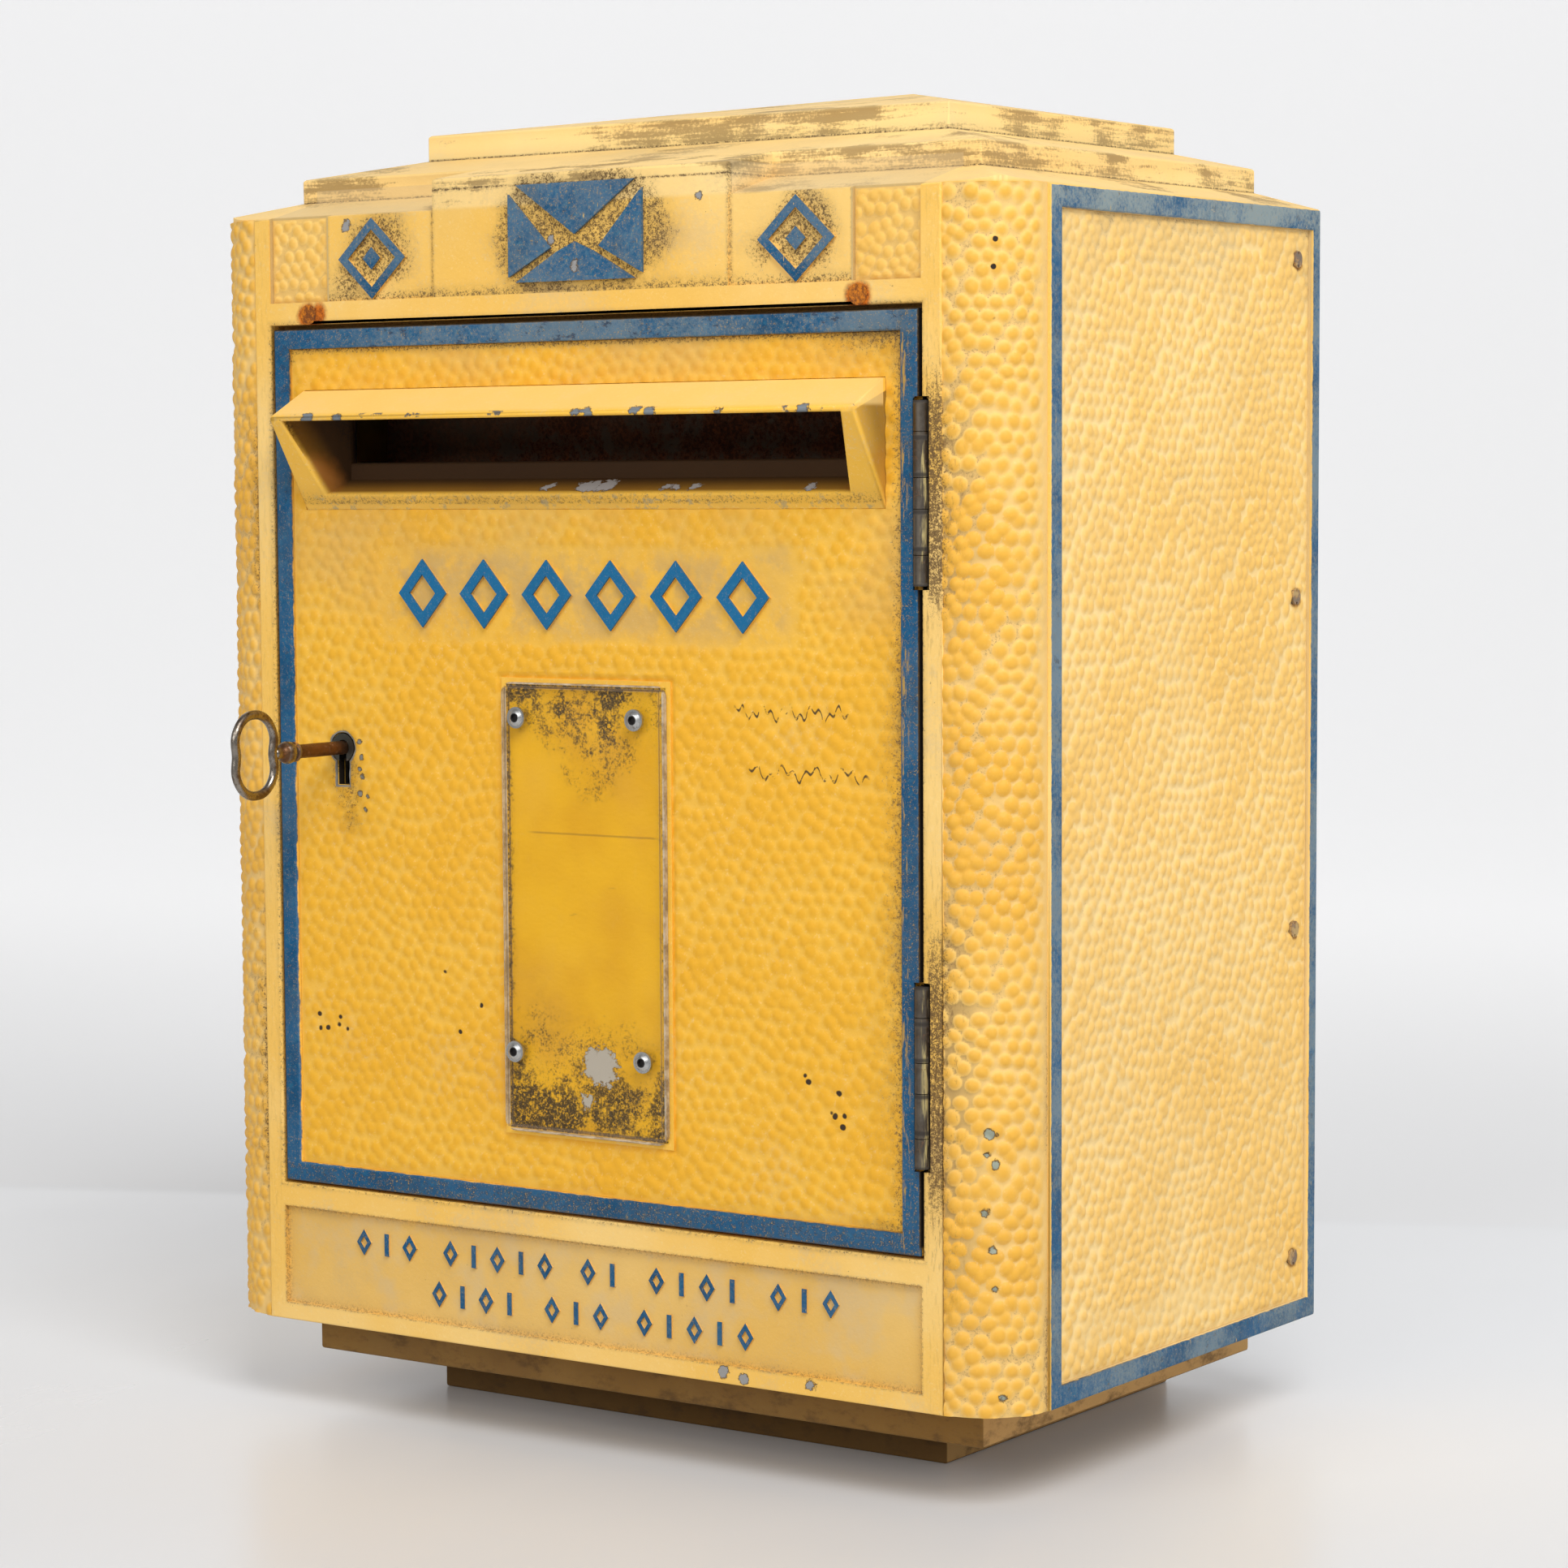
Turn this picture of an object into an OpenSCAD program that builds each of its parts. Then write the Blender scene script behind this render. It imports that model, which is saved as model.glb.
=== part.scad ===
// Cast wall letter box with a stepped roof and base, a hinged front door with a
// hooded slot, and a cam lock with its key in place.
// X runs to the right, Y to the back, Z up. The origin is the middle of the face
// that the box stands on. Inside the modules y is counted back from the front
// face of the body, and from_front() moves the result into that frame.

/* [Body] */
// Width over the two side faces
body_w = 350; // [344:2:356]
// Depth from the front face to the back edge
body_d = 220; // [214:2:230]
// Level of the body's underside
body_z0 = 33.3; // [33:0.1:34]
// Level of the body's top edge
body_z1 = 442; // [440:1:444]
// Radius of the two rounded front corners
corner_r = 26.4; // [25:0.2:27]
// Thickness of the cast walls
wall = 5; // [4.5:0.5:5.5]
// Depth of the hammered fields below the surface around them
field_drop = 2.2; // [1.8:0.1:2.4]
// Depth of the hammered corner columns below the flush surface
column_drop = 1.6; // [1.2:0.1:1.8]
// Width of the raised border round each side panel
side_border = 7.5; // [6:0.5:9]

/* [Roof] */
// Inset of the lower roof step from the body
roof_inset_1 = 27.2; // [26:0.2:28]
// Inset of the upper roof step from the body
roof_inset_2 = 60.6; // [59:0.2:62]
// Rise of the sloping strip below the lower step
roof_slope_1 = 7.4; // [6:0.2:8]
// Height of the lower step's upright face
roof_step_1 = 8.6; // [8:0.2:9]
// Rise of the sloping strip below the upper step
roof_slope_2 = 7.2; // [6:0.2:8]
// Height of the upper step's upright face
roof_step_2 = 9.4; // [9:0.2:10]
// Rise from the upper step to the peak at the back
roof_peak = 19.8; // [18:0.2:21]

/* [Base] */
// Inset of the upper base step, front and sides
base_inset_1 = 27.5; // [26:0.5:29]
// Inset of the lower base step at the front
base_front_2 = 60; // [59:0.5:61]
// Inset of the lower base step at the sides
base_side_2 = 62.2; // [61:0.2:63]
// Height of the lower base step
base_step = 16.5; // [16:0.1:17]

/* [Front] */
// Width of the door opening
opening_w = 282; // [280:1:283]
// Lower edge of the door opening
opening_z0 = 85.3; // [85:0.1:86]
// Upper edge of the door opening
opening_z1 = 403.4; // [403:0.1:404]
// Lower edge of the header fields, above the strip over the door
header_z0 = 411.5; // [411:0.1:412]
// Half width of the raised middle panel of the header
panel_half = 64; // [62:1:66]
// Top edge of the middle panel at the front
panel_z1 = 453.2; // [452:0.2:454]
// Half width at which the hammered header fields begin
hammer_half = 114; // [113:0.5:115]
// Lower edge of the notice field under the door
notice_z0 = 39.8; // [39.6:0.1:41]
// Upper edge of the notice field under the door
notice_z1 = 76.5; // [76:0.1:77]
// Depth of the notice field
notice_drop = 1.8; // [1.2:0.1:2]

/* [Door] */
// Gap between door and opening, at each side
gap_side = 1.2; // [1:0.1:1.4]
// Gap above the door
gap_top = 1.5; // [1.2:0.1:1.8]
// Gap below the door
gap_bottom = 1; // [0.8:0.1:1.2]
// Thickness of the door's border
door_t = 6; // [5.8:0.1:6.2]
// Width of the door's raised border
door_border = 7.3; // [6.5:0.1:8]
// Height of the middle row of raised signs
sign_h = 24.6; // [22:0.2:26]
// Level of the middle row's centre
sign_z = 306; // [305:0.5:307]

/* [Hood] */
// Half width of the hood over the slot
hood_half = 126; // [125:0.5:127]
// Level of the hood's root at the top
hood_z1 = 379.4; // [379:0.1:380]
// Level of the hood's root at the bottom
hood_z0 = 336; // [335:0.2:337]
// How far the hood's lip stands out of the front face
hood_out = 18; // [16:0.5:20]
// Level of the lip's upper edge
lip_z = 370.2; // [369:0.1:371]
// Half width of the slot behind the hood
slot_half = 110; // [106:1:112]
// Lower edge of the slot
slot_z0 = 353; // [352:0.2:354]

/* [Hinges] */
// Height of each hinge
hinge_h = 61.1; // [61.1:0.1:61.5]
// Levels of the two hinge centres
hinge_levels = [341.1, 146.9];
// Radius of the hinge barrel
barrel_r = 2.5; // [2.3:0.1:2.5]
// Radius of the hinge pin
pin_r = 1.25; // [1.1:0.05:1.3]

/* [Lock] */
// Sideways place of the lock's axis
lock_x = -110.4; // [-111:0.1:-110]
// Level of the lock's axis
lock_z = 249; // [248.5:0.1:249.5]
// Radius at which the crank pin drives the bolt
crank_r = 8; // [7.6:0.1:8]

/* [Hidden] */
$fn = 48;
over = 1;

paint_yellow = "#F2C250";
door_yellow = "#F0B93C";
steel_grey = "#8C8A86";
rust_brown = "#7A4A2A";
zinc_grey = "#B5B3AE";
clear_tint = [0.85, 0.88, 0.86, 0.35];

half_w = body_w / 2;
roof_z1 = body_z1 + roof_slope_1;
roof_z2 = roof_z1 + roof_step_1;
roof_z3 = roof_z2 + roof_slope_2;
roof_z4 = roof_z3 + roof_step_2;
peak_z = roof_z4 + roof_peak;
origin_y = (base_front_2 + body_d) / 2;

opening_half = opening_w / 2;
opening_h = opening_z1 - opening_z0;
jamb_t = 5;
jamb_d = 12.5;
lip_w = 6;
stop_y = 8;
bar_half = 133;
bar_z1 = 415;
plain_drop = 0.8;
relief = 1.4;

door_half = opening_half - gap_side;
door_z0 = opening_z0 + gap_bottom;
door_z1 = opening_z1 - gap_top;
rim_half = 131;
rim_z0 = 95.5;
rim_z1 = 393.5;
rim_t = 4;
rim_y = 13;
lip_t = 2.3;
slot_z1 = 376;
upstand_y = 8;
slot_back = 12;

hinge_x = opening_half - 0.2;
leaf_in = 0.9;
leaf_t = barrel_r - leaf_in;
leaf_d = 18;
knuckle_short = 10.1;
knuckle_gap = 0.25;
knuckle_long = (hinge_h - 3 * knuckle_short - 4 * knuckle_gap) / 2;
knuckles = [
    [0, knuckle_short],
    [knuckle_short + knuckle_gap, knuckle_long],
    [knuckle_short + knuckle_long + 2 * knuckle_gap, knuckle_short],
    [2 * knuckle_short + knuckle_long + 3 * knuckle_gap, knuckle_long],
    [2 * knuckle_short + 2 * knuckle_long + 4 * knuckle_gap, knuckle_short]
];
frame_knuckles = [0, 2, 4];
door_knuckles = [1, 3];
boss_half = 34;
notch_half = hinge_h / 2 + 1.3;
hinge_screws = [[11, -22], [14, 0], [11, 22]];
hinge_screw_r = 1.5;
hinge_screw_len = 8;

plate_x = 0.7;
plate_w = 71;
plate_z0 = 114.4;
plate_h = 160.6;
plate_t = 2.5;
pad_y = 1.5;
plate_screws = [[-27.4, 262.5], [24.2, 263], [-29.4, 143.1], [26.9, 143.4]];
plate_screw_r = 2;

guard_screws_x = [-122.5, 116.5];
guard_screw_z = 407;
guard_screw_r = 2;
guard_head_r = 3.6;
guard_half = 128;
guard_t = 1.5;

side_screw_y = 203.4;
side_screw_z = [57.6, 179.6, 301.6, 423.6];
side_screw_r = 2;

tray_t = 1.5;
tray_x = half_w - wall - 0.2;
tray_z0 = body_z0 + wall + 0.3;
tray_z1 = body_z1 - wall - 0.3;
tray_back = body_d - 1;
wall_hole_r = 4.5;
wall_hole_x = 120;
wall_hole_z = [100, 380];

key_r = 2.6;
keyhole_r = 5.5;
case_x0 = -126.2;
case_x1 = -80;
case_z0 = 226;
case_z1 = 274;
case_y0 = door_t;
case_y1 = 22;
case_t = 1.6;
drum_r = 13.2;
drum_y0 = 8.1;
drum_y1 = 15.5;
bit_r = 12.8;
bolt_y0 = 16.2;
bolt_y1 = 20.8;
bolt_x0 = -131;
bolt_x1 = -88;
bolt_z0 = 247;
bolt_z1 = 263.5;
crank_x = lock_x + crank_r * cos(45);
crank_z = lock_z + crank_r * sin(45);
lug_x = -103;
lug_z = [219, 281];
lug_y = 14;
cover_screws_at = [[-121.5, 230.5], [-84.5, 230.5], [-121.5, 269.5], [-84.5, 269.5]];
strike_z = [238, 272];
strike_t = 2.5;

bow_y = -47.2;
bow_w = 27;
bow_h = 32.6;
bow_t = 3.2;

// ---- helpers ----

module from_front() {
    translate([0, -origin_y, 0]) children();
}

// A profile drawn as (y, z), extruded along X between -half and half.
module across(half) {
    translate([-half, 0, 0]) rotate([90, 0, 90]) linear_extrude(2 * half) children();
}

// A profile drawn as (x, z), extruded along Y from y0 to y1.
module along(y0, y1) {
    translate([0, y1, 0]) rotate([90, 0, 0]) linear_extrude(y1 - y0) children();
}

module round_along(x, z, r, y0, y1) {
    translate([x, y1, z]) rotate([90, 0, 0]) cylinder(r = r, h = y1 - y0);
}

// A flat-headed screw along +Y whose head is flush with y0.
module flush_screw(x, z, r, head_r, y0, length, grow = 0) {
    translate([x, y0, z]) rotate([-90, 0, 0]) {
        cylinder(r = r + grow, h = length);
        cylinder(r1 = head_r + grow, r2 = r + grow, h = head_r - r);
    }
}

// A lozenge drawn round the origin, w wide and h high.
module lozenge(w, h) {
    polygon([[-w / 2, 0], [0, h / 2], [w / 2, 0], [0, -h / 2]]);
}

module lozenge_ring(w, h, stroke) {
    difference() {
        lozenge(w, h);
        lozenge(w - 2.6 * stroke, h - 2.6 * stroke * h / w);
    }
}

// ---- the housing: one casting ----

// Plan of the body: square at the back, rounded at the two front corners.
module body_plan(inset, back) {
    r = corner_r - inset;
    x = half_w - inset;
    translate([-x, corner_r]) square([2 * x, back - corner_r]);
    translate([r - x, inset]) square([2 * (x - r), corner_r]);
    for (s = [-1, 1]) translate([s * (x - r), corner_r]) circle(r);
}

// Outline of the steps seen from the side, t inside the outer surface.
function front_steps(t) = [
    [t, body_z0 + t],
    [t, body_z1 - t],
    [roof_inset_1 + t, roof_z1 - t],
    [roof_inset_1 + t, roof_z2 - t],
    [roof_inset_2 + t, roof_z3 - t],
    [roof_inset_2 + t, roof_z4 - t],
    [body_d - t, peak_z - t],
    [body_d - t, body_z1 - t],
    [body_d + (t > 0 ? over : 0), body_z1 - t],
    [body_d + (t > 0 ? over : 0), body_z0 + t],
    [body_d - t, body_z0 + t],
    [body_d - t, t],
    [base_front_2 + t, t],
    [base_front_2 + t, base_step + t],
    [base_inset_1 + t, base_step + t],
    [base_inset_1 + t, body_z0 + t]
];

// Right half of the steps seen from the front, t inside the outer surface.
function side_steps(t) = [
    [half_w - base_side_2 - t, t],
    [half_w - base_side_2 - t, base_step + t],
    [half_w - base_inset_1 - t, base_step + t],
    [half_w - base_inset_1 - t, body_z0 + t],
    [half_w - t, body_z0 + t],
    [half_w - t, body_z1 - t],
    [half_w - roof_inset_1 - t, roof_z1 - t],
    [half_w - roof_inset_1 - t, roof_z2 - t],
    [half_w - roof_inset_2 - t, roof_z3 - t],
    [half_w - roof_inset_2 - t, roof_z4 - t],
    [0, peak_z - t]
];

function mirrored(points) = [for (i = [len(points) - 1:-1:0]) if (points[i][0] > 0) [-points[i][0], points[i][1]]];

module stepped_solid(t) {
    intersection() {
        linear_extrude(peak_z + over) body_plan(t, body_d + (t > 0 ? over : 0));
        across(half_w) polygon(front_steps(t));
        along(0, body_d + over) polygon(concat(side_steps(t), mirrored(side_steps(t))));
    }
}

module column_recess(s) {
    translate([s * (half_w - corner_r), corner_r, body_z0 - over])
        rotate([0, 0, s > 0 ? 270 : 180])
            rotate_extrude(angle = 90)
                translate([corner_r - column_drop, 0])
                    square([column_drop + over, body_z1 - body_z0 + 2 * over + roof_slope_1]);
}

module side_recess(s) {
    translate([s > 0 ? half_w - field_drop : -half_w - over, corner_r + side_border, body_z0 + side_border])
        cube([field_drop + over, body_d - corner_r - 2 * side_border + 1.5, body_z1 - body_z0 - 2 * side_border]);
}

module header_recesses() {
    for (s = [-1, 1]) {
        translate([s > 0 ? hammer_half : -opening_half, -over, header_z0])
            cube([opening_half - hammer_half, over + field_drop, body_z1 - header_z0 + over]);
        translate([s > 0 ? panel_half : -hammer_half - over, -over, header_z0])
            cube([hammer_half - panel_half + over, over + plain_drop, body_z1 - header_z0 + over]);
    }
}

// The middle panel rises to the lower roof step.
module header_panel() {
    across(panel_half)
        polygon([
            [0, header_z0],
            [0, panel_z1],
            [roof_inset_1, roof_z2],
            [roof_inset_1 + wall, roof_z2],
            [roof_inset_1 + wall, roof_z1 - 2],
            [wall, body_z1 - wall - 2],
            [wall, header_z0]
        ]);
}

module door_frame() {
    difference() {
        translate([-opening_half - jamb_t, wall - over, opening_z0 - jamb_t])
            cube([opening_w + 2 * jamb_t, jamb_d - wall + over, opening_h + 2 * jamb_t]);
        translate([-opening_half + lip_w, 0, opening_z0 + lip_w])
            cube([opening_w - 2 * lip_w, jamb_d + over, opening_h - 2 * lip_w]);
    }
    translate([-bar_half, wall - over, opening_z1])
        cube([2 * bar_half, jamb_d - wall + over, bar_z1 - opening_z1]);
}

module frame_hinge_boss(level) {
    translate([opening_half, wall - over, level - boss_half - 2])
        cube([9, leaf_d + 1.5 - wall + over, 2 * boss_half + 4]);
}

module frame_hinge_cuts(level) {
    // seat of the leaf
    translate([hinge_x - 8, -over, level - hinge_h / 2 - 0.3])
        cube([8 + barrel_r, leaf_d + 0.6 + over, hinge_h + 0.6]);
    // room for the barrel
    translate([hinge_x - 4, -over, level - notch_half])
        cube([4 + barrel_r + 0.7, barrel_r + over + over, 2 * notch_half]);
    // gap in the stop lip
    translate([opening_half - lip_w - over, stop_y - 0.1, level - boss_half - 2])
        cube([lip_w + over, jamb_d, 2 * boss_half + 4]);
    for (p = hinge_screws)
        translate([hinge_x, p[0], level + p[1]])
            rotate([0, 90, 0]) cylinder(r = hinge_screw_r, h = hinge_screw_len + leaf_in + 0.3);
}

// Letter outline on the header: four leaves parted by narrow grooves.
module envelope_relief() {
    w = 58;
    h = 34;
    g = 1.6;
    z = (header_z0 + panel_z1) / 2;
    along(-relief, over) translate([0, z]) {
        polygon([[-w / 2 + 2 * g, h / 2], [w / 2 - 2 * g, h / 2], [0, -1]]);
        polygon([[-w / 2 + 2 * g, -h / 2], [w / 2 - 2 * g, -h / 2], [8, -7], [0, -3.6], [-8, -7]]);
        for (s = [-1, 1])
            polygon([[s * w / 2, h / 2 - 2 * g], [s * w / 2, -h / 2 + 1.2 * g], [s * 10.5, -5.4]]);
    }
}

module header_lozenges() {
    for (s = [-1, 1])
        along(plain_drop - relief, over + plain_drop)
            translate([s * 92, (header_z0 + body_z1) / 2 - 0.4]) {
                lozenge_ring(31, 29, 3.4);
                lozenge(8, 8);
            }
}

// Two rows of raised marks in the notice field, set out in groups.
module notice_marks() {
    rows = [
        [66, [3, 5, 2, 4, 3]],
        [50.5, [4, 3, 5]]
    ];
    mark_w = 6.6;
    mark_h = 9.6;
    pitch = 10.8;
    space = 8.4;
    for (row = rows) {
        groups = row[1];
        total = pitch * (sum(groups) - 1) + space * (len(groups) - 1);
        for (g = [0:len(groups) - 1])
            for (i = [0:groups[g] - 1]) {
                n = sum_before(groups, g) + i;
                along(notice_drop - 0.9, notice_drop + over)
                    translate([pitch * n + space * g - total / 2, row[0]])
                        if (i % 2 == 0) lozenge_ring(mark_w, mark_h, 1.3);
                        else square([1.9, mark_h * 0.86], center = true);
            }
    }
}

function sum(v, i = 0) = i < len(v) ? v[i] + sum(v, i + 1) : 0;
function sum_before(v, g, i = 0) = i < g ? v[i] + sum_before(v, g, i + 1) : 0;

module side_screw_holes() {
    for (z = side_screw_z)
        translate([-half_w - over, side_screw_y, z])
            rotate([0, 90, 0]) cylinder(r = side_screw_r, h = body_w + 2 * over);
}

module housing() {
    color(paint_yellow) from_front() {
        difference() {
            union() {
                difference() {
                    stepped_solid(0);
                    stepped_solid(wall);
                }
                header_panel();
                door_frame();
                for (level = hinge_levels) frame_hinge_boss(level);
            }
            // room for the door in front of the stop lip
            translate([-opening_half, -over, opening_z0]) cube([opening_w, stop_y + over, opening_h]);
            header_recesses();
            translate([-opening_half + 0.5, -over, notice_z0])
                cube([opening_w - 1, notice_drop + over, notice_z1 - notice_z0]);
            for (s = [-1, 1]) {
                column_recess(s);
                side_recess(s);
            }
            for (level = hinge_levels) frame_hinge_cuts(level);
            for (x = guard_screws_x)
                flush_screw(x, guard_screw_z, guard_screw_r, guard_head_r, -0.2, jamb_d + over, 0.05);
            for (z = strike_z)
                round_along(-opening_half, z, 1.5, stop_y + 0.8, jamb_d + over);
            side_screw_holes();
        }
        envelope_relief();
        header_lozenges();
        notice_marks();
    }
}

// ---- back plate: a folded steel tray screwed in from both sides ----

module back_plate() {
    color(steel_grey) from_front() difference() {
        translate([-tray_x, 190, tray_z0]) cube([2 * tray_x, tray_back - 190, tray_z1 - tray_z0]);
        translate([-tray_x + tray_t, 190 - over, tray_z0 + tray_t])
            cube([2 * (tray_x - tray_t), tray_back - tray_t - 190 + over, tray_z1 - tray_z0 - 2 * tray_t]);
        for (x = [-wall_hole_x, wall_hole_x])
            for (z = wall_hole_z)
                round_along(x, z, wall_hole_r, tray_back - tray_t - over, tray_back + over);
        side_screw_holes();
    }
}

module back_plate_screws() {
    color(zinc_grey) from_front()
        for (s = [-1, 1])
            for (z = side_screw_z)
                translate([s * (half_w - 0.6), side_screw_y, z]) rotate([0, -90 * s, 0]) {
                    difference() {
                        cylinder(r = 3, h = field_drop - 0.6);
                        translate([-3.5, -0.5, -over]) cube([7, 1, over + 0.8]);
                    }
                    cylinder(r = side_screw_r - 0.05, h = 11);
                }
}

// ---- steel guard that hangs behind the slot ----

module mail_guard() {
    fold_y = 51;
    color(rust_brown) from_front() difference() {
        across(guard_half)
            polygon([
                [jamb_d, 419],
                [jamb_d, 399],
                [fold_y, 377],
                [fold_y, 330],
                [fold_y + guard_t, 330],
                [fold_y + guard_t, 378],
                [jamb_d + guard_t, 400],
                [jamb_d + guard_t, 419]
            ]);
        for (x = guard_screws_x)
            round_along(x, guard_screw_z, guard_screw_r + 0.05, jamb_d - over, jamb_d + 3);
    }
}

module guard_screws() {
    color(rust_brown) from_front()
        for (x = guard_screws_x)
            flush_screw(x, guard_screw_z, guard_screw_r, guard_head_r, -0.2, 19.2);
}

module guard_nuts() {
    color(rust_brown) from_front()
        for (x = guard_screws_x)
            difference() {
                translate([x, jamb_d + guard_t + 4, guard_screw_z])
                    rotate([90, 0, 0]) cylinder(r = 4.6, h = 4, $fn = 6);
                round_along(x, guard_screw_z, guard_screw_r + 0.02, jamb_d, jamb_d + 8);
            }
}

// ---- door: one casting with its hood ----

module hood_solid() {
    across(hood_half)
        polygon([
            [door_t - over, hood_z1],
            [0, hood_z1],
            [-hood_out, lip_z],
            [-hood_out, lip_z - lip_t],
            [pad_y, hood_z0],
            [door_t - over, hood_z0]
        ]);
}

// Inside of the hood: a sill that rises to an upstand, a sloping ceiling, and
// cheeks that close in on the slot.
module hood_cavity() {
    sill_rise = 0.55;
    sill_y = -1.8;
    sill_z = hood_z0 + 5.4;
    far = 22;
    mouth_half = hood_half - 5;
    intersection() {
        across(hood_half)
            polygon([
                [sill_y - far, sill_z - far * sill_rise],
                [upstand_y, sill_z + (upstand_y - sill_y) * sill_rise],
                [upstand_y, slot_z0],
                [slot_back + over, slot_z0],
                [slot_back + over, slot_z1],
                [door_t, slot_z1],
                [-hood_out, lip_z - lip_t],
                [sill_y - far, lip_z - lip_t]
            ]);
        linear_extrude(slot_z1 + over)
            polygon([
                [-mouth_half, -hood_out - 8],
                [-mouth_half, -hood_out],
                [-slot_half, upstand_y],
                [-slot_half, slot_back + over],
                [slot_half, slot_back + over],
                [slot_half, upstand_y],
                [mouth_half, -hood_out],
                [mouth_half, -hood_out - 8]
            ]);
    }
}

module keyhole(r, slot_w, slot_r, y0, y1) {
    along(y0, y1) translate([lock_x, lock_z]) {
        circle(r);
        translate([-slot_w / 2, -slot_r]) square([slot_w, slot_r]);
    }
}

module door_signs() {
    for (i = [0:5])
        along(0.1, field_drop + over)
            translate([28 * (i - 2.5) - 1, sign_z]) lozenge_ring(21.6, sign_h, 3.7);
}

module door_hinge_boss(level) {
    translate([129.5, door_t - over, level - boss_half])
        cube([hinge_x - barrel_r - 129.5, leaf_d + 0.5 - door_t + over, 2 * boss_half]);
}

module door_hinge_cuts(level) {
    translate([hinge_x - barrel_r, -over, level - hinge_h / 2 - 0.3])
        cube([10, leaf_d + 2, hinge_h + 0.6]);
    translate([hinge_x - barrel_r - 0.7, -over, level - notch_half])
        cube([10, barrel_r + over + over, 2 * notch_half]);
    for (p = hinge_screws)
        translate([hinge_x, p[0], level + p[1]])
            rotate([0, -90, 0]) cylinder(r = hinge_screw_r, h = hinge_screw_len + leaf_in + 0.3);
}

module door() {
    color(door_yellow) from_front() difference() {
        union() {
            difference() {
                translate([-door_half, 0, door_z0]) cube([2 * door_half, door_t, door_z1 - door_z0]);
                translate([-door_half + door_border, -over, door_z0 + door_border])
                    cube([
                        2 * (door_half - door_border),
                        over + field_drop,
                        door_z1 - door_z0 - 2 * door_border
                    ]);
            }
            // stiffening rim behind the plate
            difference() {
                translate([-rim_half, door_t - over, rim_z0])
                    cube([2 * rim_half, rim_y - door_t + over, rim_z1 - rim_z0]);
                translate([-rim_half + rim_t, 0, rim_z0 + rim_t])
                    cube([2 * (rim_half - rim_t), rim_y + over, rim_z1 - rim_z0 - 2 * rim_t]);
            }
            // collar round the slot
            translate([-slot_half - 3, door_t - over, slot_z0 - 8])
                cube([2 * slot_half + 6, slot_back - door_t + over, slot_z1 - slot_z0 + 11]);
            hood_solid();
            door_signs();
            // flat pad under the notice cover
            translate([plate_x - plate_w / 2 - 1.5, pad_y, plate_z0 - 1.5])
                cube([plate_w + 3, field_drop, plate_h + 3]);
            for (level = hinge_levels) door_hinge_boss(level);
            for (z = lug_z) round_along(lug_x, z, 4.5, door_t - over, lug_y);
        }
        hood_cavity();
        for (level = hinge_levels) door_hinge_cuts(level);
        keyhole(keyhole_r, 5.6, 13.6, -over, door_t + over);
        for (p = plate_screws) round_along(p[0], p[1], plate_screw_r + 0.05, -over, door_t + over);
        for (z = lug_z) round_along(lug_x, z, 2, door_t + over, lug_y + over);
    }
}

// ---- clear cover over the notice field ----

module notice_cover() {
    r = 4;
    color(clear_tint) from_front() difference() {
        along(pad_y - plate_t, pad_y)
            translate([plate_x, plate_z0 + plate_h / 2])
                difference() {
                    union() {
                        square([plate_w - 2 * r, plate_h], center = true);
                        square([plate_w, plate_h - 2 * r], center = true);
                        for (sx = [-1, 1])
                            for (sz = [-1, 1])
                                translate([sx * (plate_w / 2 - r), sz * (plate_h / 2 - r)]) circle(r);
                    }
                }
        for (p = plate_screws) round_along(p[0], p[1], plate_screw_r + 0.05, -3, pad_y + over);
    }
}

module notice_cover_screws() {
    head_y = pad_y - plate_t;
    color(zinc_grey) from_front()
        for (p = plate_screws)
            difference() {
                union() {
                    round_along(p[0], p[1], 3.8, head_y - 1.1, head_y);
                    intersection() {
                        round_along(p[0], p[1], 3.8, head_y - 2.2, head_y);
                        translate([p[0], head_y + 2.5, p[1]]) sphere(r = 4.7);
                    }
                    round_along(p[0], p[1], plate_screw_r, head_y, 13);
                }
                translate([p[0], head_y - 0.9, p[1]]) rotate([90, 0, 0]) cylinder(r = 1.44, h = 3, $fn = 6);
            }
}

module notice_cover_nuts() {
    color(zinc_grey) from_front()
        for (p = plate_screws)
            difference() {
                translate([p[0], door_t + 3.2, p[1]]) rotate([90, 0, 0]) cylinder(r = 4.04, h = 3.2, $fn = 6);
                round_along(p[0], p[1], plate_screw_r + 0.02, door_t - over, door_t + 5);
            }
}

// ---- hinges: two leaves with five knuckles, and a pin ----

// side is 1 for the leaf on the frame and -1 for the leaf on the door.
module hinge_leaf(level, side, own, other, bore_r) {
    color(steel_grey) from_front() translate([hinge_x, 0, level - hinge_h / 2]) difference() {
        union() {
            translate([side > 0 ? leaf_in : -barrel_r, 0, 0]) cube([leaf_t, leaf_d, hinge_h]);
            for (i = own) translate([0, 0, knuckles[i][0]]) cylinder(r = barrel_r, h = knuckles[i][1]);
        }
        for (i = other)
            translate([0, 0, knuckles[i][0] - knuckle_gap])
                cylinder(r = barrel_r + 0.4, h = knuckles[i][1] + 2 * knuckle_gap);
        translate([0, 0, -over]) cylinder(r = bore_r, h = hinge_h + 2 * over);
        for (p = hinge_screws)
            translate([side * leaf_in, p[0], p[1] + hinge_h / 2]) rotate([0, 90 * side, 0]) {
                cylinder(r = hinge_screw_r + 0.05, h = leaf_t + over);
                translate([0, 0, -0.02]) cylinder(r1 = 2.87, r2 = hinge_screw_r, h = 1.37);
            }
    }
}

module hinge_pin(level) {
    color(steel_grey) from_front()
        translate([hinge_x, 0, level - hinge_h / 2]) cylinder(r = pin_r, h = hinge_h);
}

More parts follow.
